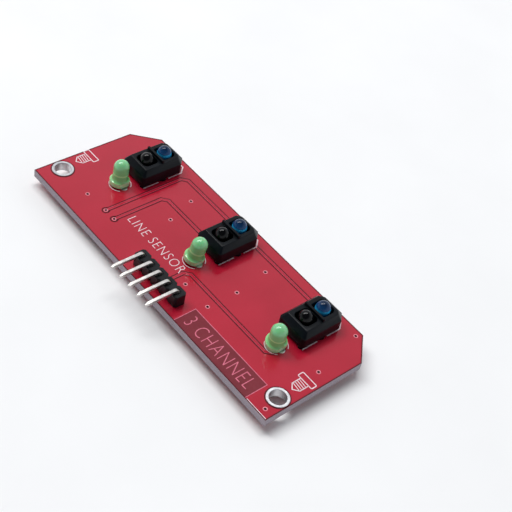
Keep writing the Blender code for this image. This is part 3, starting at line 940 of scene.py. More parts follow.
def dress_nodes(frame: dict, names: Iterable[str], finish: Finishes) -> None:
    """Give CAD nodes that stay in view their finish.

    Args:
        names: The nodes.
        finish: Their finish.
    """
    for name in names:
        for slot in frame["nodes"][name].material_slots:
            slot.material = finish.material
        LOG.info("%s keeps its CAD shape in %s", name, finish.value.name)


# --------------------------------------------------------------------------------------------------
# Board


@dataclass
class Layout:
    """Where everything sits, read from the frame."""

    board: Extent = field(default_factory=lambda: Extent.of("board"))

    @property
    def top(self) -> float:
        """Height of the board's sensor side."""
        return self.board.high.z

    @property
    def under(self) -> float:
        """Height of the board's underside."""
        return self.board.low.z

    def channel(self, name: str) -> float:
        """X of one sensor and its lamp."""
        return Extent.of(f"sensor_{name}_housing").middle.x

    @property
    def lamp_y(self) -> float:
        """Y of the lamps, which is that of their leads."""
        return Extent.of("indicator_centre_anode_lead").middle.y

    def sensor_leads(self) -> list[Vector]:
        """Middles of the twelve sensor leads."""
        roles = ("emitter_anode", "emitter_cathode", "detector_collector", "detector_emitter")
        return [Extent.of(f"sensor_{c}_{role}_lead").middle for c in CHANNELS for role in roles]

    def lamp_leads(self) -> list[Vector]:
        """Middles of the six lamp leads.

        Returns:
            One point for each lead, channel by channel.
        """
        return [
            Extent.of(f"indicator_{c}_{role}_lead").middle for c in CHANNELS for role in ("anode", "cathode")
        ]

    def pins(self) -> list[Extent]:
        """Extents of the header pins."""
        return [Extent.of(f"header_pin_{i}") for i in range(1, 6)]


@dataclass
class CircuitBoard:
    """The laminate, its mask and copper pattern on both sides."""

    layout: Layout
    # A track: its own copper, and the bare gaps that part it from the poured copper on each side
    track_width: float = 0.5 * MM
    gap_width: float = 0.27 * MM
    rim_width: float = 0.12 * MM
    copper_rise: float = 0.035 * MM
    gap_rise: float = 0.006 * MM
    # Where the rim, a pale line of painted highlight, stands between the track's middle and the gap's, and
    # how far its sides lean in
    rim_share: float = 0.62
    rim_lean: float = 0.04 * MM
    via_pad: float = 0.9 * MM
    via_bore: float = 0.5 * MM
    via_steps: int = 20
    # Radius of the bare ring round the pad where a track ends in a via, and half its open angle
    end_ring: float = 0.68 * MM
    end_opening: float = 32.0
    end_steps: int = 24
    top_tracks: tuple[Points, ...] = (
        ((-18.7, -6.0), (-18.7, 11.7), (-17.65, 12.75), (20.4, 12.75)),
        ((-16.0, -6.0), (-16.0, 4.9), (-15.0, 5.9), (-3.0, 5.9)),
        ((1.5, -7.2), (1.5, -3.2), (2.55, -2.15), (23.4, -2.15), (24.6, -0.95)),
    )
    top_vias: Points = (
        (-24.0, -6.5), (-12.7, 9.6), (-10.6, 3.1), (9.1, 10.1), (10.3, 2.3), (10.2, -4.4),
        (3.9, -4.5), (29.4, 14.2), (31.8, 2.9), (32.7, -10.0), (-18.7, -6.0), (-16.0, -6.0),
    )
    under_tracks: tuple[Points, ...] = (
        ((-31.0, 13.35), (15.2, 13.35), (16.6, 12.0)),
        ((-31.7, 6.0), (-33.2, 5.2), (-33.2, -2.2), (-32.4, -3.0), (-29.2, -3.0), (-28.3, -3.9),
         (-28.3, -10.1), (-27.5, -10.9), (-8.0, -10.9)),
        ((-30.8, 9.7), (-30.8, 7.2)),
        ((-7.5, 9.7), (-7.5, 7.2)),
        ((15.9, 9.7), (15.9, 7.2)),
        ((-9.0, 5.8), (-13.0, 5.8), (-14.0, 4.8), (-14.0, 1.9)),
        ((-23.2, 5.3), (-23.2, 2.3)),
        ((-21.5, -0.7), (-20.8, -1.35), (-12.7, -1.35), (-12.2, -3.0)),
        ((-23.0, -1.5), (-22.2, -2.2), (-14.0, -2.2), (-13.4, -3.0)),
        ((1.3, -0.5), (1.2, -1.6), (-1.2, -2.6), (-1.2, -7.2)),
        ((6.4, -7.2), (6.4, 4.9), (7.4, 5.9), (14.5, 5.9)),
        ((7.4, -8.8), (13.3, -8.8), (14.4, -7.9)),
        ((-10.0, -5.9), (-6.8, -5.9), (-6.2, -6.6), (-6.2, -9.5)),
    )
    under_vias: Points = (
        (-28.8, 14.8), (-28.6, 8.6), (-27.7, 3.15), (-23.9, -6.5), (-12.9, 9.7), (-10.8, 3.1),
        (8.75, 10.2), (10.0, 2.4), (9.8, -4.4), (3.6, -4.5), (31.5, 3.0), (29.3, 14.2), (32.3, -10.2),
    )
    # Width of the bare strip that the copper keeps clear, and the board's outline, read from its mesh
    margin: float = 0.22 * MM
    rim: list[Vector] = field(default_factory=list)
    # What parts the margin round a mounting hole from its ring
    ring_play: float = 0.02 * MM
    # The unpoured field that carries the large words on the sensor side, as its low and high corners,
    # its printed border and the room round its words
    field_low: tuple[float, float] = (9.5, -11.3)
    field_high: tuple[float, float] = (29.1, -6.5)
    border_line: float = 0.14 * MM
    border_ink: float = 0.02 * MM
    words_room: tuple[float, float] = (2.6, 2.0)

    def build(self, frame: dict) -> None:
        """Make the laminate and both copper patterns.
        """
        self.build_laminate(frame)
        self.build_pattern("top_copper", self.top_tracks, self.top_vias, self.layout.top, 1.0)
        self.build_pattern("under_copper", self.under_tracks, self.under_vias, self.layout.under, -1.0)
        self.build_field()
        self.build_isolation()

    def build_isolation(self) -> None:
        """Make the bare strip along the board's edge and round each mounting hole, on both sides."""
        blank = Blank("bare_margins")
        board = self.layout.board
        inset = self.margin / 2
        rim = sorted(self.rim, key=lambda spot: math.atan2(spot.y - board.middle.y, spot.x))
        line = [spot + step * inset for spot, step in zip(rim, mitres(rim, closed=True))]
        for face, way in ((self.layout.top, 1.0), (self.layout.under, -1.0)):
            rise = face + way * self.gap_rise
            blank.ribbon(line, self.margin, face, rise, Finishes.MASK_BARE, closed=True)
            for side in ("right", "left"):
                ring = Extent.of(f"mounting_ring_{side}")
                at = face_axes(ring.middle.x, ring.middle.y, face, way)
                inner = ring.size.x / 2 + self.ring_play
                outer = inner + self.margin
                gap = [(inner, 0.0), (outer, 0.0), (outer, self.gap_rise), (inner, self.gap_rise)]
                blank.turned(gap, Finishes.MASK_BARE, at, bored=True)
        blank.piece("solder_mask")

    def build_laminate(self, frame: dict) -> None:
        """Copy the CAD board and finish its faces, sawn edges and plated holes apart.
        """
        bm = bmesh.new()
        bm.from_mesh(frame["nodes"]["board"].data)
        bmesh.ops.remove_doubles(bm, verts=bm.verts, dist=10 * MERGE)
        bmesh.ops.recalc_face_normals(bm, faces=bm.faces)
        walls = {face for face in bm.faces if abs(face.normal.z) < 0.5}
        for face in bm.faces:
            face.material_index = 2 if face in walls else 0
        edge = [min(walls, key=lambda face: face.calc_center_median().x)]
        while edge:
            face = edge.pop()
            face.material_index = 1
            walls.discard(face)
            for vert in face.verts:
                spot = vert.co.to_2d()
                if not any((spot - known).length < 100 * MERGE for known in self.rim):
                    self.rim.append(spot)
            edge += [near for side in face.edges for near in side.link_faces if near in walls]
        mesh = bpy.data.meshes.new("board_laminate")
        bm.to_mesh(mesh)
        bm.free()
        for finish in (Finishes.MASK, Finishes.LAMINATE, Finishes.TINNED):
            mesh.materials.append(finish.material)
        for layer in [each for each in mesh.attributes if each.name == "custom_normal"]:
            mesh.attributes.remove(layer)
        mesh.shade_flat()
        settle(mesh, "solder_mask", "board")

    def build_pattern(
        self, name: str, tracks: Iterable[Points], vias: Points, face: float, way: float
    ) -> None:
        """Make the tracks, their gaps and the vias of one side.

        Args:
            name: The piece's name.
            tracks: Routes, in millimetres.
            vias: Via middles, in millimetres.
            face: Height of the board's face.
            way: One for the sensor side, minus one for the underside.
        """
        blank = Blank(name)
        offset = (self.track_width + self.gap_width) / 2
        for route in tracks:
            line = scaled(route)
            sides = mitres(line, closed=False)
            for side in (-1.0, 1.0):
                gap = [point + step * (offset * side) for point, step in zip(line, sides)]
                blank.ribbon(gap, self.gap_width, face, face + way * self.gap_rise, Finishes.MASK_BARE)
                # Beside each gap, a ribbon whose pale colour is a painted highlight on the track's edge
                reach = offset * side * self.rim_share
                rim = [point + step * reach for point, step in zip(line, sides)]
                rise = face + way * self.copper_rise
                blank.ribbon(rim, self.rim_width, face, rise, Finishes.MASK_RIM_HIGHLIGHT, shoulder=self.rim_lean)
            if route[0] in vias:
                way_out = line[1] - line[0]
                start = math.degrees(math.atan2(way_out.y, way_out.x)) + self.end_opening
                ring = arc(self.end_ring, start, start + 360 - 2 * self.end_opening, self.end_steps)
                loop = [line[0] + Vector(point) for point in ring]
                blank.ribbon(loop, self.gap_width, face, face + way * self.gap_rise, Finishes.MASK_BARE)
        for x, y in vias:
            self.add_via(blank, x * MM, y * MM, face, way)
        blank.piece("solder_mask")

    def add_via(self, blank: Blank, x: float, y: float, face: float, way: float) -> None:
        """Add one tented via: a rim of copper under the mask, pale pink with a painted highlight, round a
        dark dimple of painted shade.

        Args:
            blank: The mesh that takes it.
            x: Its middle in X, in metres.
            y: Its middle in Y.
            face: Height of the board's face.
            way: One for the sensor side, minus one for the underside.
        """
        at = face_axes(x, y, face, way)
        outer, inner, rise = self.via_pad / 2, self.via_bore / 2, self.copper_rise
        rim = [(inner, 0.0), (outer, 0.0), (outer - rise, rise), (inner + rise, rise), (inner, rise / 2)]
        # The rim's pale pink is a painted highlight
        blank.turned(rim, Finishes.MASK_VIA_HIGHLIGHT, at, self.via_steps, bored=True)
        # The dark disc is painted shade for the hole under the tent
        dimple = [(0.0, rise / 4), (inner, rise / 4), (inner, 0.0), (0.0, 0.0)]
        blank.turned(dimple, Finishes.VIA_HOLE_SHADE, at, self.via_steps)

    def build_field(self) -> None:
        """Make the dark unpoured field with its printed border."""
        blank = Blank("unpoured_field")
        low, high = Vector(self.field_low) * MM, Vector(self.field_high) * MM
        size = high - low
        face = self.layout.top
        middle = tuple((low + high) / 2)
        blank.slab(rectangle(size.x, size.y), face, face + self.gap_rise, Finishes.MASK_FIELD, at=middle)
        ends = ((low.x, low.y), (low.x, high.y), (high.x, high.y), (high.x, low.y))
        border = [Vector(end) for end in ends]
        blank.ribbon(border, self.border_line, face, face + self.border_ink, Finishes.LEGEND_THIN)
        room = size - Vector(self.words_room) * MM
        blank.lettering("3 CHANNEL", tuple(room), (*middle, face + self.gap_rise), Finishes.LEGEND_THIN)
        blank.piece("solder_mask")


@dataclass(frozen=True)
class Words:
    """Printed words, the box that they fill, its middle and their turn, in millimetres and degrees."""

    said: str
    box: tuple[float, float]
    middle: tuple[float, float]
    turn: float = 0.0


@dataclass
class Legend:
    """The printed ink on both sides. Lists of points and sizes with no unit are in millimetres."""

    layout: Layout
    line: float = 0.24 * MM
    part_line: float = 0.17 * MM
    screw_line: float = 0.19 * MM
    thread_line: float = 0.15 * MM
    edge_line: float = 0.12 * MM
    ink: float = 0.016 * MM
    top_words: Words = Words("LINE SENSOR", (15.9, 2.0), (-6.75, -3.0))
    under_words: tuple[Words, ...] = (
        Words("3 CHANNEL LINE SENSOR", (22.4, 1.4), (-16.1, 14.2), 180.0),
        Words("LINE SENSOR", (16.4, 2.3), (29.2, 5.0), 90.0),
    )
    # Middles of the two pictures of a screw
    screws: Points = ((-32.7, 0.2), (32.1, 0.0))
    screw_head: tuple[float, float, float] = (3.5, 1.2, 0.2)
    # The shank of a screw: half its width, where it leaves the head, its tip, its point and its threads
    shank: float = 1.0
    shoulder: float = 0.75
    shank_end: float = 3.5
    shank_point: float = 0.9
    threads: int = 4
    first_thread: float = 0.35
    thread_pitch: float = 0.48
    thread_slant: float = 0.1
    # Half of the outline round a sensor: where it starts, turns and shuts, and the stroke by its other end
    sensor_half: float = 3.25
    sensor_outline: Points = ((3.25, 1.2), (3.25, 4.35), (2.05, 5.7))
    sensor_stroke: tuple[float, float] = (-4.8, -1.2)
    # Radius of the ring round a lamp, its two starts and its span in degrees, and half its middle stroke
    lamp_top: float = 2.12
    lamp_under: float = 2.15
    lamp_starts: tuple[int, int] = (35, 215)
    lamp_span: int = 110
    lamp_stroke: float = 0.45
    # The broken box round a chip part, and half of what it leaves open
    chip_box: tuple[float, float] = (5.15, 2.5)
    power_lamp_box: tuple[float, float] = (6.3, 2.7)
    box_gap: float = 0.5
    # The frame round the header, and the stroke past the chip's end
    header_reach: float = 0.15
    chip_end: float = 0.25
    chip_stroke: float = 1.4
    # The letter of each channel, printed twice beside its lamp, and the label of each pin with its length
    letter_box: tuple[float, float] = (1.1, 1.5)
    letter_steps: tuple[float, float] = (0.2, 4.8)
    letter_y: float = 8.5
    pin_words: tuple[tuple[str, float], ...] = (
        ("R", 1.2), ("C", 1.2), ("L", 1.2), ("GND", 3.2), ("VCC", 3.3),
    )
    pin_height: float = 1.4
    pin_y: float = -5.0
    # The thin line along the board's edge beside the unpoured field
    edge_mark: Points = ((29.4, -11.25), (34.3, -11.25))

    def build(self) -> None:
        """Print both sides."""
        self.build_top()
        self.build_underside()

    def stroke(
        self, blank: Blank, points: Points, way: float, closed: bool = False, width: float = 0.0
    ) -> None:
        """Print one line on one side.

        Args:
            blank: The mesh that takes it.
            points: The line, in millimetres.
            way: One for the sensor side, minus one for the underside.
            closed: Whether its end joins its start.
            width: Its width, or nothing for that of the outlines.
        """
        face = self.layout.top if way > 0 else self.layout.under
        rise = face + way * self.ink
        blank.ribbon(scaled(points), width or self.line, face, rise, Finishes.LEGEND, closed=closed)

    def say(self, blank: Blank, words: Words, way: float) -> None:
        """Print words on one side.

        Args:
            blank: The mesh that takes it.
            words: What is printed and where.
            way: One for the sensor side, minus one for the underside.
        """
        face = self.layout.top if way > 0 else self.layout.under
        box = (words.box[0] * MM, words.box[1] * MM)
        spot = (words.middle[0] * MM, words.middle[1] * MM, face)
        blank.lettering(words.said, box, spot, Finishes.LEGEND, words.turn, way < 0)

    def build_top(self) -> None:
        """Print the sensor side: its words, the screw marks and the sensor outlines."""
        blank = Blank("top_legend")
        self.say(blank, self.top_words, 1.0)
        for x, y in self.screws:
            self.add_screw_mark(blank, x, y)
        for channel in CHANNELS:
            sensor = Extent.of(f"sensor_{channel}_housing").middle
            self.add_sensor_outline(blank, sensor.x / MM, sensor.y / MM)
            self.add_lamp_outline(blank, sensor.x / MM, self.layout.lamp_y / MM, self.lamp_top, 1.0)
        self.stroke(blank, self.edge_mark, 1.0, width=self.edge_line)
        blank.piece("legend_ink")

    def add_screw_mark(self, blank: Blank, x: float, y: float) -> None:
        """Print the picture of a screw that marks a mounting hole, its head's middle in millimetres.

        Args:
            blank: The mesh that takes it.
            x: The head's middle in X.
            y: The head's middle in Y.
        """
        head = [(x + p.x, y + p.y) for p in rectangle(*self.screw_head)]
        self.stroke(blank, head, 1.0, closed=True, width=self.screw_line)
        half, shoulder, tip = self.shank, y - self.shoulder, y - self.shank_end
        start = tip + self.shank_point
        shank = ((x - half, shoulder), (x - half, start), (x, tip), (x + half, start), (x + half, shoulder))
        self.stroke(blank, shank, 1.0, width=self.screw_line)
        slant = self.thread_slant
        for step in range(self.threads):
            rung = shoulder - self.first_thread - self.thread_pitch * step
            thread = ((x - half, rung + slant), (x + half, rung - slant))
            self.stroke(blank, thread, 1.0, width=self.thread_line)

    def add_sensor_outline(self, blank: Blank, x: float, y: float) -> None:
        """Print the outline round a sensor, its middle in millimetres.

        Args:
            blank: The mesh that takes it.
            x: The sensor's middle in X.
            y: The sensor's middle in Y.
        """
        left = [(x - px, y + py) for px, py in self.sensor_outline]
        right = [(x + px, y + py) for px, py in reversed(self.sensor_outline)]
        self.stroke(blank, left + right, 1.0)
        low, high = self.sensor_stroke
        for side in (-self.sensor_half, self.sensor_half):
            self.stroke(blank, ((x + side, y + low), (x + side, y + high)), 1.0)

    def build_underside(self) -> None:
        """Print the underside: part outlines, labels and words."""
        blank = Blank("under_legend")
        lamp_y = self.layout.lamp_y / MM
        for channel in CHANNELS:
            for role in ("indicator", "detector", "emitter"):
                self.add_chip_outline(blank, f"resistor_{channel}_{role}", self.chip_box)
            x = self.layout.channel(channel) / MM
            self.add_lamp_outline(blank, x, lamp_y, self.lamp_under, -1.0)
            self.stroke(blank, ((x, lamp_y - self.lamp_stroke), (x, lamp_y + self.lamp_stroke)), -1.0)
        self.add_chip_outline(blank, "resistor_power_lamp", self.chip_box)
        self.add_chip_outline(blank, "supply_capacitor", self.chip_box)
        self.add_chip_outline(blank, "power_lamp", self.power_lamp_box)
        self.add_header_frame(blank)
        chip = Extent.of("comparator_chip")
        end, middle = chip.high.x / MM + self.chip_end, chip.middle.y / MM
        self.stroke(blank, ((end, middle - self.chip_stroke), (end, middle + self.chip_stroke)), -1.0)
        self.add_labels(blank)
        for words in self.under_words:
            self.say(blank, words, -1.0)
        blank.piece("legend_ink")

    def add_header_frame(self, blank: Blank) -> None:
        """Print the frame round the header's joints.

        Args:
            blank: The mesh that takes it.
        """
        header, reach = Extent.of("header_block"), self.header_reach
        low, high = header.low / MM, header.high / MM
        near, far = low.y - reach, high.y + reach
        first, last = low.x - reach, high.x + reach
        self.stroke(blank, ((first, near), (last, near), (last, far), (first, far)), -1.0, closed=True)

    def add_labels(self, blank: Blank) -> None:
        """Print the letters of the channels and the labels of the pins.

        Args:
            blank: The mesh that takes it.
        """
        for channel, letter in zip(CHANNELS, "RCL"):
            x = self.layout.channel(channel) / MM
            # The outer one of the last channel would run into the words at that end
            steps = self.letter_steps[:1] if channel == "left" else self.letter_steps
            for step in steps:
                self.say(blank, Words(letter, self.letter_box, (x + step, self.letter_y), 180.0), -1.0)
        for pin, (label, length) in zip(self.layout.pins(), self.pin_words):
            spot = (pin.middle.x / MM, self.pin_y - length / 6)
            self.say(blank, Words(label, (length, self.pin_height), spot, 90.0), -1.0)

    def add_chip_outline(self, blank: Blank, node: str, box: tuple[float, float]) -> None:
        """Print the broken box round a chip part, its sides in millimetres.

        Args:
            blank: The mesh that takes it.
            node: The part's CAD node.
            box: Size of the box along and across the part.
        """
        middle = Extent.of(node).middle / MM
        width, length = box[0] / 2, box[1] / 2
        for side in (-1, 1):
            near, far = middle.x + side * self.box_gap, middle.x + side * width
            above, below = middle.y + length, middle.y - length
            half = ((near, above), (far, above), (far, below), (near, below))
            self.stroke(blank, half, -1.0, width=self.part_line)

    def add_lamp_outline(self, blank: Blank, x: float, y: float, radius: float, way: float) -> None:
        """Print the broken ring round a lamp on one side, all in millimetres.

        Args:
            blank: The mesh that takes it.
            x: The lamp's middle in X.
            y: The lamp's middle in Y.
            radius: Radius of the ring.
            way: One for the sensor side, minus one for the underside.
        """
        for start in self.lamp_starts:
            ring = [(x + px, y + py) for px, py in arc(radius, start, start + self.lamp_span)]
            self.stroke(blank, ring, way, width=self.part_line)


# --------------------------------------------------------------------------------------------------
# Parts on the board


@dataclass
class MountingRing:
    """A plated hole, its rim rolled over by the levelled tin."""

    side: str
    bore: float = 1.6 * MM
    soft: float = 0.045 * MM
    lip: float = 0.1 * MM
    plating: float = 0.15 * MM
    steps: int = 56

    def build(self) -> None:
        """Turn the ring."""
        node = f"mounting_ring_{self.side}"
        extent = Extent.of(node)
        rim, soft = extent.size.x / 2, self.soft
        top, low = extent.high.z, extent.low.z
        lip, barrel = self.lip, self.bore + self.plating
        at = Matrix.Translation((extent.middle.x, extent.middle.y, 0.0))
        profile = [
            (self.bore, top - soft), (self.bore + soft, top), (rim - soft, top), (rim, top - soft),
            (rim, top - lip), (barrel, top - lip), (barrel, low + lip), (rim, low + lip),
            (rim, low + soft), (rim - soft, low), (self.bore + soft, low), (self.bore, low + soft),
        ]
        blank = Blank(f"plated_hole_{self.side}")
        blank.turned(profile, Finishes.TINNED, at, self.steps, bored=True)
        blank.piece("plated_copper", node)


@dataclass
class ReflectiveSensor:
    """One sensor: black housing on pegs, blue emitter dome and dark detector dome."""

    channel: str
    layout: Layout
    # The gap that the feet keep to the board, and a foot: its height, width, length and corner
    seat: float = 0.04 * MM
    foot: float = 0.4 * MM
    foot_width: float = 1.0 * MM
    foot_length: float = 1.6 * MM
    foot_corner: float = 0.1 * MM
    bevel_side: float = 0.85 * MM
    bevel_end: float = 1.05 * MM
    bevel_drop: float = 1.1 * MM
    corner: float = 0.55 * MM
    # The corner in the three rings of the softened top edge
    top_corners: tuple[float, float, float] = (0.2 * MM, 0.18 * MM, 0.15 * MM)
    soft: float = 0.09 * MM
    far_cut: float = 1.3 * MM
    top_far_cut: float = 0.74 * MM
    fin: float = 0.5 * MM
    fin_rise: float = 0.6 * MM
    fin_corner: float = 0.08 * MM
    fin_edge: float = 0.06 * MM
    floor: float = 1.0 * MM
    well_width: float = 3.5 * MM
    well_length: float = 3.3 * MM
    well_corner: float = 0.9 * MM
    well_flare: float = 0.08 * MM
    divider: float = 0.7 * MM
    well_steps: int = 8
    crown_stretch: float = 1.2
    dome_soft: float = 0.08 * MM
    dome_steps: int = 48
    # Middles of the pegs and their diameters, and middles of the feet, from the housing's middle
    peg_spots: Triples = ((-2.55, 0.0, 1.7), (2.55, 0.0, 1.7), (2.6, -4.5, 1.1))
    foot_spots: Points = ((-1.85, -3.0), (-1.85, 3.0), (1.85, 3.0))
    peg_tip: float = 0.2 * MM
    peg_shoulder: float = 0.9 * MM
    peg_steps: int = 32

    def build(self, frame: dict) -> None:
        """Make the housing and both domes, and dress the leads.
        """
        name = f"sensor_{self.channel}"
        self.build_housing(name)
        self.build_dome(f"{name}_emitter", Finishes.EMITTER)
        self.build_dome(f"{name}_detector", Finishes.DETECTOR)
        roles = ("emitter_anode", "emitter_cathode", "detector_collector", "detector_emitter")
        dress_nodes(frame, [f"{name}_{role}_lead" for role in roles], Finishes.LEAD)

    def build_housing(self, name: str) -> None:
        """Loft the block, join feet, pegs and the dividing fin, and cut the wells.

        Args:
            name: The sensor's name.
        """
        extent = Extent.of(f"{name}_housing")
        base, peak = self.layout.top + self.seat, extent.high.z
        top = peak - self.fin_rise
        x, y = extent.middle.x, extent.middle.y
        side, end, drop, soft = self.bevel_side, self.bevel_end, self.bevel_drop, self.soft
        rings = []
        for inset_x, inset_y, height, corner, cut in (
            (soft, soft, base + self.foot, self.corner, self.far_cut),
            (0.0, 0.0, base + self.foot + soft, self.corner, self.far_cut),
            (0.0, 0.0, top - drop - soft, self.corner, self.far_cut),
            (0.25 * soft, 0.25 * soft, top - drop, self.corner, self.far_cut),
            (0.9 * soft, soft, top - drop + soft, self.corner, self.far_cut),
            (side - soft, end - soft, top - soft, self.top_corners[0], self.top_far_cut),
            (side - 0.3 * soft, end - 0.3 * soft, top - 0.25 * soft, self.top_corners[1], self.top_far_cut),
            (side + 0.6 * soft, end + 0.6 * soft, top, self.top_corners[2], self.top_far_cut),
        ):
            outline = self.outline(extent.size.x - 2 * inset_x, extent.size.y - 2 * inset_y, corner, cut)
            rings.append([Vector((point.x + x, point.y + y, height)) for point in outline])
        block = Blank(f"{name}_shell")
        block.loft(rings, Finishes.SENSOR_SHELL)
        tools = []
        sole = rectangle(self.foot_width, self.foot_length, self.foot_corner)
        for px, py in self.foot_spots:
            tool = Blank("foot")
            spot = (x + px * MM, y + py * MM)
            tool.slab(sole, base, base + self.foot + OVERLAP, Finishes.SENSOR_SHELL, at=spot)
            tools.append((tool, "UNION"))
        for px, py, diameter in self.peg_spots:
            tools.append((self.peg(x + px * MM, y + py * MM, diameter * MM, extent.low.z, base), "UNION"))
        for way in (1.0, -1.0):
            middle = Vector((x, y + way * (self.divider + self.well_length) / 2))
            tools.append((self.well(middle, base + self.foot + self.floor, top), "DIFFERENCE"))
        fin = Blank("fin")
        plan = rectangle(extent.size.x - 2 * side - 2 * soft, self.fin, self.fin_corner)
        fin.slab(plan, top - OVERLAP, peak, Finishes.SENSOR_SHELL, self.fin_edge, (x, y))
        tools.append((fin, "UNION"))
        settle(carve(block, tools), "sensor_plastic", f"{name}_housing")

    def outline(self, width: float, length: float, corner: float, cut: float) -> list[Vector]:
        """Plan of the housing at one height.

        Args:
            width: Its size in X.
            length: Its size in Y.
            corner: Radius of the two corners at the detector's end.
            cut: Size of the corners cut off at the emitter's end.

        Returns:
            The outline, anticlockwise, with as many points at any height.
        """
        half_w, half_l = width / 2, length / 2
        points = [Vector((half_w, half_l - cut)), Vector((half_w - cut, half_l))]
        points += [Vector((cut - half_w, half_l)), Vector((-half_w, half_l - cut))]
        for sx, start in ((-1, 180), (1, 270)):
            middle = Vector((sx * (half_w - corner), corner - half_l))
            points += [middle + Vector(p) for p in arc(corner, start, start + 90, 4)]
        return points

    def peg(self, x: float, y: float, diameter: float, low: float, base: float) -> Blank:
        """A locating peg with a rounded tip, which ends below the board.

        Args:
            x: Its middle in X.
            y: Its middle in Y.
            diameter: Its diameter.
            low: Height of its tip.
            base: Height of the housing's feet.

        Returns:
            The solid to join.
        """
        radius, tip, end = diameter / 2, self.peg_tip, base + self.peg_shoulder
        profile = [(0.0, low), (radius - tip, low), (radius - tip * 0.3, low + tip * 0.3)]
        profile += [(radius, low + tip), (radius, end), (0.0, end)]
        tool = Blank("peg")
        tool.turned(profile, Finishes.SENSOR_SHELL, Matrix.Translation((x, y, 0.0)), self.peg_steps)
        return tool

    def well(self, middle: Vector, low: float, top: float) -> Blank:
        """The cutter of a lens's well, its corners rounded and its mouth flared.

        Args:
            middle: The well's middle in plan.
            low: Height of its floor.
            top: Height of the panel that it opens in.

        Returns:
            The cutter.
        """
        wide = self.well_flare
        rings = []
        for height, flare in ((low, 0.0), (top - wide, 0.0), (top, wide), (top + OVERLAP, wide)):
            width, length = self.well_width + 2 * flare, self.well_length + 2 * flare
            plan = rectangle(width, length, self.well_corner + flare, self.well_steps)
            rings.append([Vector((*(point + middle), height)) for point in plan])
        tool = Blank("well")
        tool.loft(rings, Finishes.SENSOR_SHELL)
        return tool

    @staticmethod
    def dome_profile(
        radius: float, height: float, soft: float, stretch: float = 1.0
    ) -> list[tuple[float, float]]:
        """Profile of a domed body from its crown down to its flat base.

        Args:
            radius: Its radius.
            height: Its height.
            soft: Size of the flat round its base.
            stretch: How much taller than a half ball its crown is.

        Returns:
            (radius, height) points.
        """
        crown = radius * stretch
        shoulder = height - crown
        turns = [math.pi / 2 * i / CROWN_STEPS for i in range(CROWN_STEPS + 1)]
        profile = [(radius * math.sin(turn), shoulder + crown * math.cos(turn)) for turn in turns]
        profile[0] = (0.0, height)
        return profile + [(radius, soft), (radius - soft, 0.0), (0.0, 0.0)]

    def build_dome(self, node: str, finish: Finishes) -> None:
        """Cast one dome round its own origin, so that its finish runs along its own axis.

        Args:
            node: The CAD node that it stands for.
            finish: Its finish.
        """
        extent = Extent.of(node)
        blank = Blank(f"{node}_dome")
        profile = self.dome_profile(extent.size.x / 2, extent.size.z, self.dome_soft, self.crown_stretch)
        blank.turned(profile, finish, steps=self.dome_steps)
        at = Matrix.Translation((extent.middle.x, extent.middle.y, extent.low.z))
        blank.piece(finish.value.slot, node, at=at)


@dataclass
class IndicatorLamp:
    """A leaning 3 mm lamp: diffused epoxy on a flange with a flat; its metal frame inside is not built, only
    its painted reflection as a band in the epoxy.
    """

    channel: str
    height: float = 5.3 * MM
    radius: float = 1.5 * MM
    flange: float = 1.95 * MM
    flange_height: float = 1.0 * MM
    flat: float = 1.68 * MM
    soft: float = 0.09 * MM
    # The fillet over the flange, in millimetres: how far out from the dome's wall and how far up
    fillet: Points = ((0.0, 0.4), (0.06, 0.2), (0.2, 0.05))
    steps: int = 56

    def build(self, frame: dict) -> None:
        """Cast the lamp where its CAD node stands and leans, and dress its leads.
        """
        name = f"indicator_{self.channel}"
        node = frame["nodes"][f"{name}_lens"]
        profile = ReflectiveSensor.dome_profile(self.radius, self.height, self.soft)[:-3]
        step, rim, soft = self.flange_height, self.flange, self.soft
        profile += [(self.radius + out * MM, step + rise * MM) for out, rise in self.fillet]
        profile += [(rim - soft, step), (rim, step - soft), (rim, soft), (rim - soft, 0.0), (0.0, 0.0)]
        blank = Blank(f"{name}_casting")
        blank.turned(profile, Finishes.INDICATOR, steps=self.steps, flat=self.flat)
        blank.piece("indicator_epoxy", f"{name}_lens", at=self.stance(node))
        dress_nodes(frame, [f"{name}_anode_lead", f"{name}_cathode_lead"], Finishes.LEAD)

    def stance(self, node: bpy.types.Object) -> Matrix:
        """Find where a lamp stands and leans from its CAD mesh.

        Args:
            node: The lamp's CAD object.

        Returns:
            The matrix from the lamp's own axes, which start in the middle of its base.
        """
        spots = np.array([vert.co for vert in node.data.vertices])
        spread = np.cov((spots - spots.mean(axis=0)).T)
        # A turned shape spreads alike in the two directions across its axis, so the axis is its own direction
        axis = Vector(max(np.linalg.eigh(spread)[1].T, key=lambda way: abs(way[2])))
        axis *= math.copysign(1.0, axis.z)
        crown = Vector(max(spots, key=lambda spot: Vector(spot).dot(axis)))
        turn = Vector((0.0, 0.0, 1.0)).rotation_difference(axis)
        origin = crown - axis * self.height
        return Matrix.Translation(origin) @ turn.to_matrix().to_4x4()


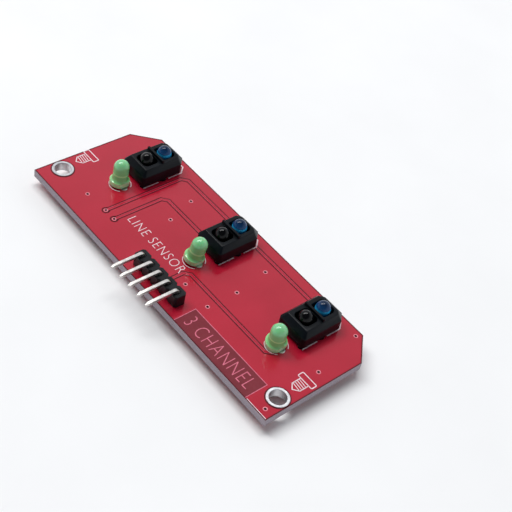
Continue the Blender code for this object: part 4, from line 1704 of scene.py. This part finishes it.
@dataclass
class PinHeader:
    """Five joined cells of black nylon, each with a bent square pin."""

    layout: Layout
    pin_width: float = 0.64 * MM
    pin_edge: float = 0.07 * MM
    bend: float = 0.75 * MM
    bend_steps: int = 8
    # Each pin's pointed ends: their length, the blunt tip, and the share of the width at the lower end and
    # in the two last sections of the other
    point: float = 0.7 * MM
    tip: float = 0.04 * MM
    lower_share: float = 0.55
    tip_shares: tuple[float, float] = (0.5, 0.4)
    notch: float = 0.4 * MM
    block_edge: float = 0.07 * MM
    # The dish round each pin: its depth and the radii of its floor and its mouth
    dish_depth: float = 0.18 * MM
    dish_floor: float = 0.52 * MM
    dish_mouth: float = 0.68 * MM
    dish_steps: int = 32

    def build(self) -> None:
        """Make the block and the pins."""
        self.build_block()
        for i, pin in enumerate(self.layout.pins()):
            self.build_pin(i + 1, pin)

    def build_block(self) -> None:
        """Make the block, notched between the cells, with a dished collar round each pin."""
        extent = Extent.of("header_block")
        pins = [pin.middle.x for pin in self.layout.pins()]
        half_cell, half_depth = extent.size.x / len(pins) / 2, extent.size.y / 2
        near = []
        for x in pins:
            near += [
                (x - half_cell, -half_depth + self.notch),
                (x - half_cell + self.notch, -half_depth),
                (x + half_cell - self.notch, -half_depth),
            ]
        near.append((pins[-1] + half_cell, -half_depth + self.notch))
        y = extent.middle.y
        outline = [Vector((px, y + py)) for px, py in near]
        outline += [Vector((px, y - py)) for px, py in reversed(near)]
        block = Blank("header_shell")
        block.slab(outline, extent.low.z, extent.high.z, Finishes.HEADER_SHELL, self.block_edge)
        top = extent.high.z
        floor, mouth, over = top - self.dish_depth, self.dish_mouth, top + OVERLAP
        profile = [(0.0, floor), (self.dish_floor, floor), (mouth, top), (mouth, over), (0.0, over)]
        tools = []
        for x in pins:
            dish = Blank("dish")
            dish.turned(profile, Finishes.HEADER_SHELL, Matrix.Translation((x, y, 0.0)), self.dish_steps)
            tools.append((dish, "DIFFERENCE"))
        settle(carve(block, tools), "header_plastic", "header_block")

    def build_pin(self, number: int, pin: Extent) -> None:
        """Bend one pin, its corners eased and both ends pointed.

        Args:
            number: The pin's number, from the right.
            pin: Where its CAD node lies.
        """
        x = pin.middle.x
        half = self.pin_width / 2
        y = Extent.of("header_block").middle.y
        run, tip, low = pin.high.z - half, pin.low.y, pin.low.z
        path = [Vector((x, y, low)), Vector((x, y, low + self.point))]
        for i in range(self.bend_steps + 1):
            turn = math.pi / 2 * i / self.bend_steps
            back, drop = self.bend * (math.cos(turn) - 1), self.bend * (1 - math.sin(turn))
            path.append(Vector((x, y + back, run - drop)))
        path += [Vector((x, tip + left, run)) for left in (self.point, self.tip, 0.0)]
        shares = [self.lower_share] + [1.0] * (len(path) - 3) + list(self.tip_shares)
        edge = self.pin_edge
        square = [
            Vector((sx * (half - (edge if k else 0.0)), sy * (half - (0.0 if k else edge))))
            for sx, sy, order in ((1, 1, (0, 1)), (-1, 1, (1, 0)), (-1, -1, (0, 1)), (1, -1, (1, 0)))
            for k in order
        ]
        blank = Blank(f"header_contact_{number}")
        blank.swept(path, square, Finishes.PIN, shares)
        blank.piece("lead_tin", f"header_pin_{number}")


@dataclass
class Comparator:
    """The fourteen-leg chip on the underside, with its solder."""

    layout: Layout
    legs: int = 7
    pitch: float = 1.27 * MM
    leg_width: float = 0.42 * MM
    leg_thick: float = 0.2 * MM
    standoff: float = 0.15 * MM
    body_width: float = 3.9 * MM
    body_corner: float = 0.12 * MM
    draft: float = 0.14 * MM
    # The body's softened edges: those by the board, and the two steps of those on its outer face
    near_edge: float = 0.05 * MM
    far_edges: Points = ((0.08, 0.0), (0.02, 0.03), (0.0, 0.1))
    # The moulded dot at the first leg: how far in from the body's end and middle, and its section
    dot_spot: tuple[float, float] = (0.95, 1.05)
    dot: Points = ((0.32, 0.0), (0.4, 0.0), (0.38, -0.01), (0.34, -0.01))
    dot_steps: int = 24
    # Each leg's bends: how far in from its end, and how far below the foot or above the waist
    foot_bends: Points = ((0.0, 0.0), (0.5, 0.0), (0.62, 0.06))
    waist_bends: Points = ((0.72, 0.12), (0.82, 0.0))
    leg_corner: float = 0.04 * MM
    leg_root: float = 0.2 * MM
    # Each soldered pad: its width, length and corner, how far in from the leg's end, its depth and edge
    pad: tuple[float, float, float] = (0.62 * MM, 1.7 * MM, 0.08 * MM)
    pad_inset: float = 0.2 * MM
    pad_depth: float = 0.09 * MM
    pad_edge: float = 0.04 * MM

    def build(self) -> None:
        """Mould the body, bend the legs and solder the feet."""
        extent = Extent.of("comparator_chip")
        blank = Blank("comparator_package")
        self.add_body(blank, extent)
        self.add_legs(blank, extent)
        blank.piece("chip_epoxy", "comparator_chip")

    def add_body(self, blank: Blank, extent: Extent) -> None:
        """Mould the drafted body, with its dot at the first leg.

        Args:
            blank: The mesh that takes it.
            extent: Where its CAD node lies.
        """
        far, near = extent.low.z, extent.high.z - self.standoff
        waist = (far + near) / 2
        x, y = extent.middle.x, extent.middle.y
        levels = [(near, self.draft + self.near_edge), (near - self.near_edge, self.draft), (waist, 0.0)]
        levels += [(far + up * MM, self.draft + inwards * MM) for up, inwards in self.far_edges]
        rings = []
        for height, inset in levels:
            outline = rectangle(extent.size.x - 2 * inset, self.body_width - 2 * inset, self.body_corner)
            rings.append([Vector((p.x + x, p.y + y, height)) for p in outline])
        blank.loft(rings, Finishes.CHIP_BODY)
        along, across = self.dot_spot
        spot = Matrix.Translation((x - extent.size.x / 2 + along * MM, y + across * MM, far))
        ring = [(radius * MM, height * MM) for radius, height in self.dot]
        blank.turned(ring, Finishes.CHIP_BODY, spot, self.dot_steps, bored=True)

    def add_legs(self, blank: Blank, extent: Extent) -> None:
        """Bend the legs out and down to the board, each on a soldered pad.

        Args:
            blank: The mesh that takes it.
            extent: Where its CAD node lies.
        """
        half_span, under = extent.size.y / 2, self.layout.under
        waist = (extent.low.z + extent.high.z - self.standoff) / 2
        middle = extent.high.z - self.leg_thick / 2
        section = rectangle(self.leg_width, self.leg_thick, self.leg_corner, 1)
        plan = rectangle(*self.pad, 2)
        bends = [(half_span - inwards * MM, middle - down * MM) for inwards, down in self.foot_bends]
        bends += [(half_span - inwards * MM, waist + up * MM) for inwards, up in self.waist_bends]
        bends.append((self.body_width / 2 - self.leg_root, waist))
        for i in range(self.legs):
            x = extent.middle.x + (i - (self.legs - 1) / 2) * self.pitch
            for side in (-1, 1):
                path = [Vector((x, extent.middle.y + side * reach, height)) for reach, height in bends]
                blank.swept(path, section, Finishes.LEAD)
                foot = (x, extent.middle.y + side * (half_span - self.pad_inset))
                blank.slab(plan, under - self.pad_depth, under, Finishes.SOLDER, self.pad_edge, foot)


@dataclass
class ChipPart:
    """A small two-ended part on the underside: body, metal ends, pads and solder."""

    node: str
    slot: str
    body: Finishes
    layout: Layout
    glazed: bool = False
    end: float = 0.4 * MM
    end_corner: float = 0.05 * MM
    end_edge: float = 0.04 * MM
    # How much the body is shorter and narrower than the part, and how far it and its edges draw back
    body_play: tuple[float, float] = (0.3, 0.04)
    body_drop: float = 0.03 * MM
    # How much the glaze is shorter than the room between the ends and narrower than the part, and its corner
    glaze_play: tuple[float, float] = (0.06, 0.14)
    glaze_corner: float = 0.08 * MM
    glaze_drop: float = 0.005 * MM
    glaze_sink: float = 0.01 * MM
    glaze_edge: float = 0.012 * MM
    # The solder from the metal end out along the pad: how far out, how high as a share of the fillet, and
    # how wide as a share of the part, with what the outer sections add to both
    fillet: Triples = ((-0.05, 1.0, 0.92), (0.12, 0.62, 0.96), (0.3, 0.28, 1.0), (0.55, 0.0, 1.0))
    fillet_adds: Points = ((0.0, 0.0), (0.0, 0.0), (0.0, 0.02), (0.05, 0.06))
    fillet_rise: float = 0.75
    fillet_crown: float = 0.8

    def build(self) -> None:
        """Make the part and its solder."""
        extent = Extent.of(self.node)
        blank = Blank(f"{self.node}_chip")
        self.add_body(blank, extent)
        for side in (-1, 1):
            self.add_end(blank, extent, side)
        blank.piece(self.slot, self.node)

    def add_body(self, blank: Blank, extent: Extent) -> None:
        """Make the body, and its glaze if it has one.

        Args:
            blank: The mesh that takes it.
            extent: Where its CAD node lies.
        """
        size, at = extent.size, (extent.middle.x, extent.middle.y)
        drop = self.body_drop
        low = extent.low.z + drop
        shorter, narrower = self.body_play
        outline = rectangle(size.x - shorter * MM, size.y - narrower * MM, drop, 1)
        blank.slab(outline, low, extent.high.z, self.body, drop, at)
        if self.glazed:
            shorter, narrower = self.glaze_play
            room = size.x - 2 * self.end
            window = rectangle(room - shorter * MM, size.y - narrower * MM, self.glaze_corner, 2)
            face, sunk = extent.low.z + self.glaze_drop, low + self.glaze_sink
            blank.slab(window, face, sunk, Finishes.GLAZE, self.glaze_edge, at)

    def add_end(self, blank: Blank, extent: Extent, side: int) -> None:
        """Make one metal end with its fillet of solder on the pad.

        Args:
            blank: The mesh that takes it.
            extent: Where its CAD node lies.
            side: One for the end at +X, minus one for the other.
        """
        size, x, y = extent.size, extent.middle.x, extent.middle.y
        cap = rectangle(self.end, size.y, self.end_corner, 2)
        middle = x + side * (size.x - self.end) / 2
        blank.slab(cap, extent.low.z, extent.high.z, Finishes.TINNED, self.end_edge, (middle, y))
        face, rise, half = self.layout.under, size.z * self.fillet_rise, size.y / 2
        rings = []
        for (out, up, share), (more_up, more_wide) in zip(self.fillet, self.fillet_adds):
            place = x + side * (size.x / 2 + out * MM)
            crest = face - rise * up - more_up * MM
            wide = half * share + more_wide * MM
            narrow = wide * self.fillet_crown
            rings.append([
                Vector((place, y + across, height))
                for across, height in ((-wide, face), (wide, face), (narrow, crest), (-narrow, crest))
            ])
        blank.loft(rings, Finishes.SOLDER)


@dataclass
class PowerLamp:
    """The lamp that shows power: a white cup filled with clear silicone, on metal ends."""

    layout: Layout
    wall: float = 0.22 * MM
    end: float = 0.45 * MM
    window_length: float = 1.9 * MM
    window_corner: float = 0.3 * MM
    fill_depth: float = 0.1 * MM
    fill_edge: float = 0.03 * MM

    def build(self) -> None:
        """Make the cup, its fill, its ends and their solder."""
        part = ChipPart("power_lamp", "power_lamp", Finishes.LAMP_CUP, self.layout, end=self.end)
        extent = Extent.of("power_lamp")
        blank = Blank("power_lamp_package")
        part.add_body(blank, extent)
        for side in (-1, 1):
            part.add_end(blank, extent, side)
        window = rectangle(self.window_length, extent.size.y - 2 * self.wall, self.window_corner, 4)
        face, at = extent.low.z, (extent.middle.x, extent.middle.y)
        blank.slab(window, face, face + self.fill_depth, Finishes.LAMP_FILL, self.fill_edge, at)
        blank.piece("power_lamp", "power_lamp")


@dataclass
class SolderJoints:
    """The soldered leads and pins, each a cone of solder on the underside and a ring above."""

    layout: Layout
    pad: float = 0.95 * MM
    pad_edge: float = 0.02 * MM
    wet: float = 0.85 * MM
    # Half the width of a wire and of a pin, with its corners
    wire: float = 0.3 * MM
    pin: float = 0.38 * MM
    # The pad's thickness, the ring's above the board and its share of the pad, and the cone's height
    foot: float = 0.035 * MM
    ring: float = 0.03 * MM
    ring_share: float = 0.8
    rise: float = 0.95 * MM
    # The cone from its tip down: shares of the way from the lead to the pad's wet edge, and of its height
    cone: Points = (
        (0.02, 1.0), (0.1, 0.8), (0.28, 0.58), (0.52, 0.4), (0.76, 0.26), (0.93, 0.13), (1.0, 0.03),
    )
    # How much one joint is fuller than the next, and the turn from one to the next
    fuller: float = 0.06
    change: float = 2.4
    steps: int = 32

    def build(self) -> None:
        """Solder every lead and pin."""
        layout = self.layout
        self.build_row("sensor_solder", layout.sensor_leads(), self.wire)
        self.build_row("lamp_solder", layout.lamp_leads(), self.wire)
        header = Extent.of("header_block").middle.y
        pins = [Vector((pin.middle.x, header, 0.0)) for pin in layout.pins()]
        self.build_row("pin_solder", pins, self.pin)

    def build_row(self, name: str, spots: Iterable[Vector], lead: float) -> None:
        """Make the joints of one kind of lead.

        Args:
            name: The piece's name.
            spots: Middles of the leads.
            lead: Half the width of a lead.
        """
        blank = Blank(name)
        for i, spot in enumerate(spots):
            self.add_joint(blank, spot, lead, 1.0 + self.fuller * math.sin(self.change * i))
        blank.piece("solder")

    def add_joint(self, blank: Blank, spot: Vector, lead: float, full: float) -> None:
        """Add one joint, its cone a little fuller or leaner than the next.

        Args:
            blank: The mesh that takes it.
            spot: The lead's middle.
            lead: Half its width.
            full: How full the cone is, about one.
        """
        under = Matrix.Translation((spot.x, spot.y, self.layout.under)) @ Matrix.Rotation(math.pi, 4, "X")
        pad, wet, foot = self.pad, self.wet * full, self.foot
        disc = [(0.0, foot), (pad - self.pad_edge, foot), (pad, 0.0), (0.0, 0.0)]
        blank.turned(disc, Finishes.TINNED, under, self.steps)
        rise = self.rise * full
        cone = [(0.0, rise)]
        cone += [(lead + (wet - lead) * share, rise * height) for share, height in self.cone]
        cone += [(wet, foot / 2), (0.0, foot / 2)]
        blank.turned(cone, Finishes.SOLDER, under, self.steps)
        above = Matrix.Translation((spot.x, spot.y, self.layout.top))
        pad *= self.ring_share
        ring = [(0.0, self.ring), (pad - self.ring, self.ring), (pad, 0.0), (0.0, 0.0)]
        blank.turned(ring, Finishes.TINNED, above, self.steps)


# --------------------------------------------------------------------------------------------------
# Studio


@dataclass
class Studio:
    """Pale floor, soft light and the camera."""

    # Where the camera stands, where it looks and which way is up in its picture
    stand: tuple[float, float, float] = (99.4, -102.2, 148.95)
    forward: tuple[float, float, float] = (-0.455, 0.547, -0.702)
    up: tuple[float, float, float] = (-0.626, 0.365, 0.689)
    lens_mm: float = 78.58
    clip: float = 0.01
    # Where the light hangs, its long and its short side, and its power in watts
    light_place: tuple[float, float, float] = (-0.6, 0.0, 1.375)
    light_sides: tuple[float, float] = (1.6, 0.5)
    light_power: float = 21.5
    # The way to the middle of the dark ceiling, and where it starts and ends, as cosines from that way
    ceiling: tuple[float, float, float] = (0.1, -0.3, 0.95)
    ceiling_edge: tuple[float, float] = (0.42, 0.64)
    ceiling_colour: str = "#5A5E64"
    wall_colour: str = "#E9ECF1"
    floor_side: float = 3.0
    floor_thick: float = 2.0 * MM

    def build(self) -> None:
        """Set up the floor, the light and the camera."""
        self.build_floor()
        self.build_light()
        self.build_world()
        self.build_camera()

    def build_floor(self) -> None:
        """Lay the card that the board stands on."""
        blank = Blank("floor")
        blank.slab(rectangle(self.floor_side, self.floor_side), -self.floor_thick, 0.0, Finishes.CARD)
        floor = bpy.data.objects.new("floor", blank.mesh())
        bpy.context.scene.collection.objects.link(floor)

    def build_light(self) -> None:
        """Hang a soft oblong light that faces the board, its long side across the camera's view."""
        light = bpy.data.lights.new("overhead", "AREA")
        light.shape = "RECTANGLE"
        light.size, light.size_y = self.light_sides
        light.energy = self.light_power
        back = Vector(self.light_place).normalized()
        across = Vector(self.forward).cross(Vector(self.up))
        across = (across - back * across.dot(back)).normalized()
        turn = Matrix((across, back.cross(across), back)).transposed().to_4x4()
        lamp = bpy.data.objects.new("overhead", light)
        lamp.matrix_world = Matrix.Translation(self.light_place) @ turn
        bpy.context.scene.collection.objects.link(lamp)

    def build_world(self) -> None:
        """Surround the board with pale walls under a dark ceiling, which keeps the black parts black."""
        world = bpy.data.worlds.new("studio")
        world.use_nodes = True
        tree = world.node_tree
        way = add_node(tree, "ShaderNodeTexCoord").outputs["Generated"]
        inputs = {0: way, 1: Vector(self.ceiling).normalized()}
        share = add_node(tree, "ShaderNodeVectorMath", inputs, operation="DOT_PRODUCT").outputs["Value"]
        ramp = add_node(tree, "ShaderNodeValToRGB", {"Fac": share})
        low, high = ramp.color_ramp.elements
        low.position, high.position = self.ceiling_edge
        low.color, high.color = linear(self.wall_colour), linear(self.ceiling_colour)
        tree.links.new(ramp.outputs["Color"], tree.nodes["Background"].inputs["Color"])
        bpy.context.scene.world = world
        bpy.context.scene.view_settings.view_transform = "Standard"

    def build_camera(self) -> None:
        """Stand the camera in front of the header's end of the board."""
        data = bpy.data.cameras.new("camera")
        data.lens = self.lens_mm
        data.sensor_width = 36.0
        data.clip_start = self.clip
        forward = Vector(self.forward).normalized()
        right = forward.cross(Vector(self.up)).normalized()
        up = right.cross(forward)
        turn = Matrix((right, up, -forward)).transposed().to_4x4()
        camera = bpy.data.objects.new("camera", data)
        camera.matrix_world = Matrix.Translation(Vector(self.stand) * MM) @ turn
        bpy.context.scene.collection.objects.link(camera)
        bpy.context.scene.camera = camera


def corners(bounds: Sequence[Vector]) -> list[list[float]]:
    """A box's two corners as plain lists."""
    return [[float(number) for number in corner] for corner in bounds]


def main() -> None:
    """Build every sub-assembly on the frame."""
    logging.basicConfig(level=logging.INFO, format="%(name)s: %(message)s")
    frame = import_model()
    layout = Layout()
    CircuitBoard(layout).build(frame)
    Legend(layout).build()
    for side in ("right", "left"):
        MountingRing(side).build()
    for channel in CHANNELS:
        ReflectiveSensor(channel, layout).build(frame)
        IndicatorLamp(channel).build(frame)
        for role in ("indicator", "detector", "emitter"):
            node = f"resistor_{channel}_{role}"
            ChipPart(node, "resistor_glaze", Finishes.ALUMINA, layout, glazed=True).build()
    ChipPart("resistor_power_lamp", "resistor_glaze", Finishes.ALUMINA, layout, glazed=True).build()
    ChipPart("supply_capacitor", "capacitor_ceramic", Finishes.CERAMIC, layout).build()
    PowerLamp(layout).build()
    Comparator(layout).build()
    PinHeader(layout).build()
    SolderJoints(layout).build()
    Studio().build()


if __name__ == "__main__":
    main()
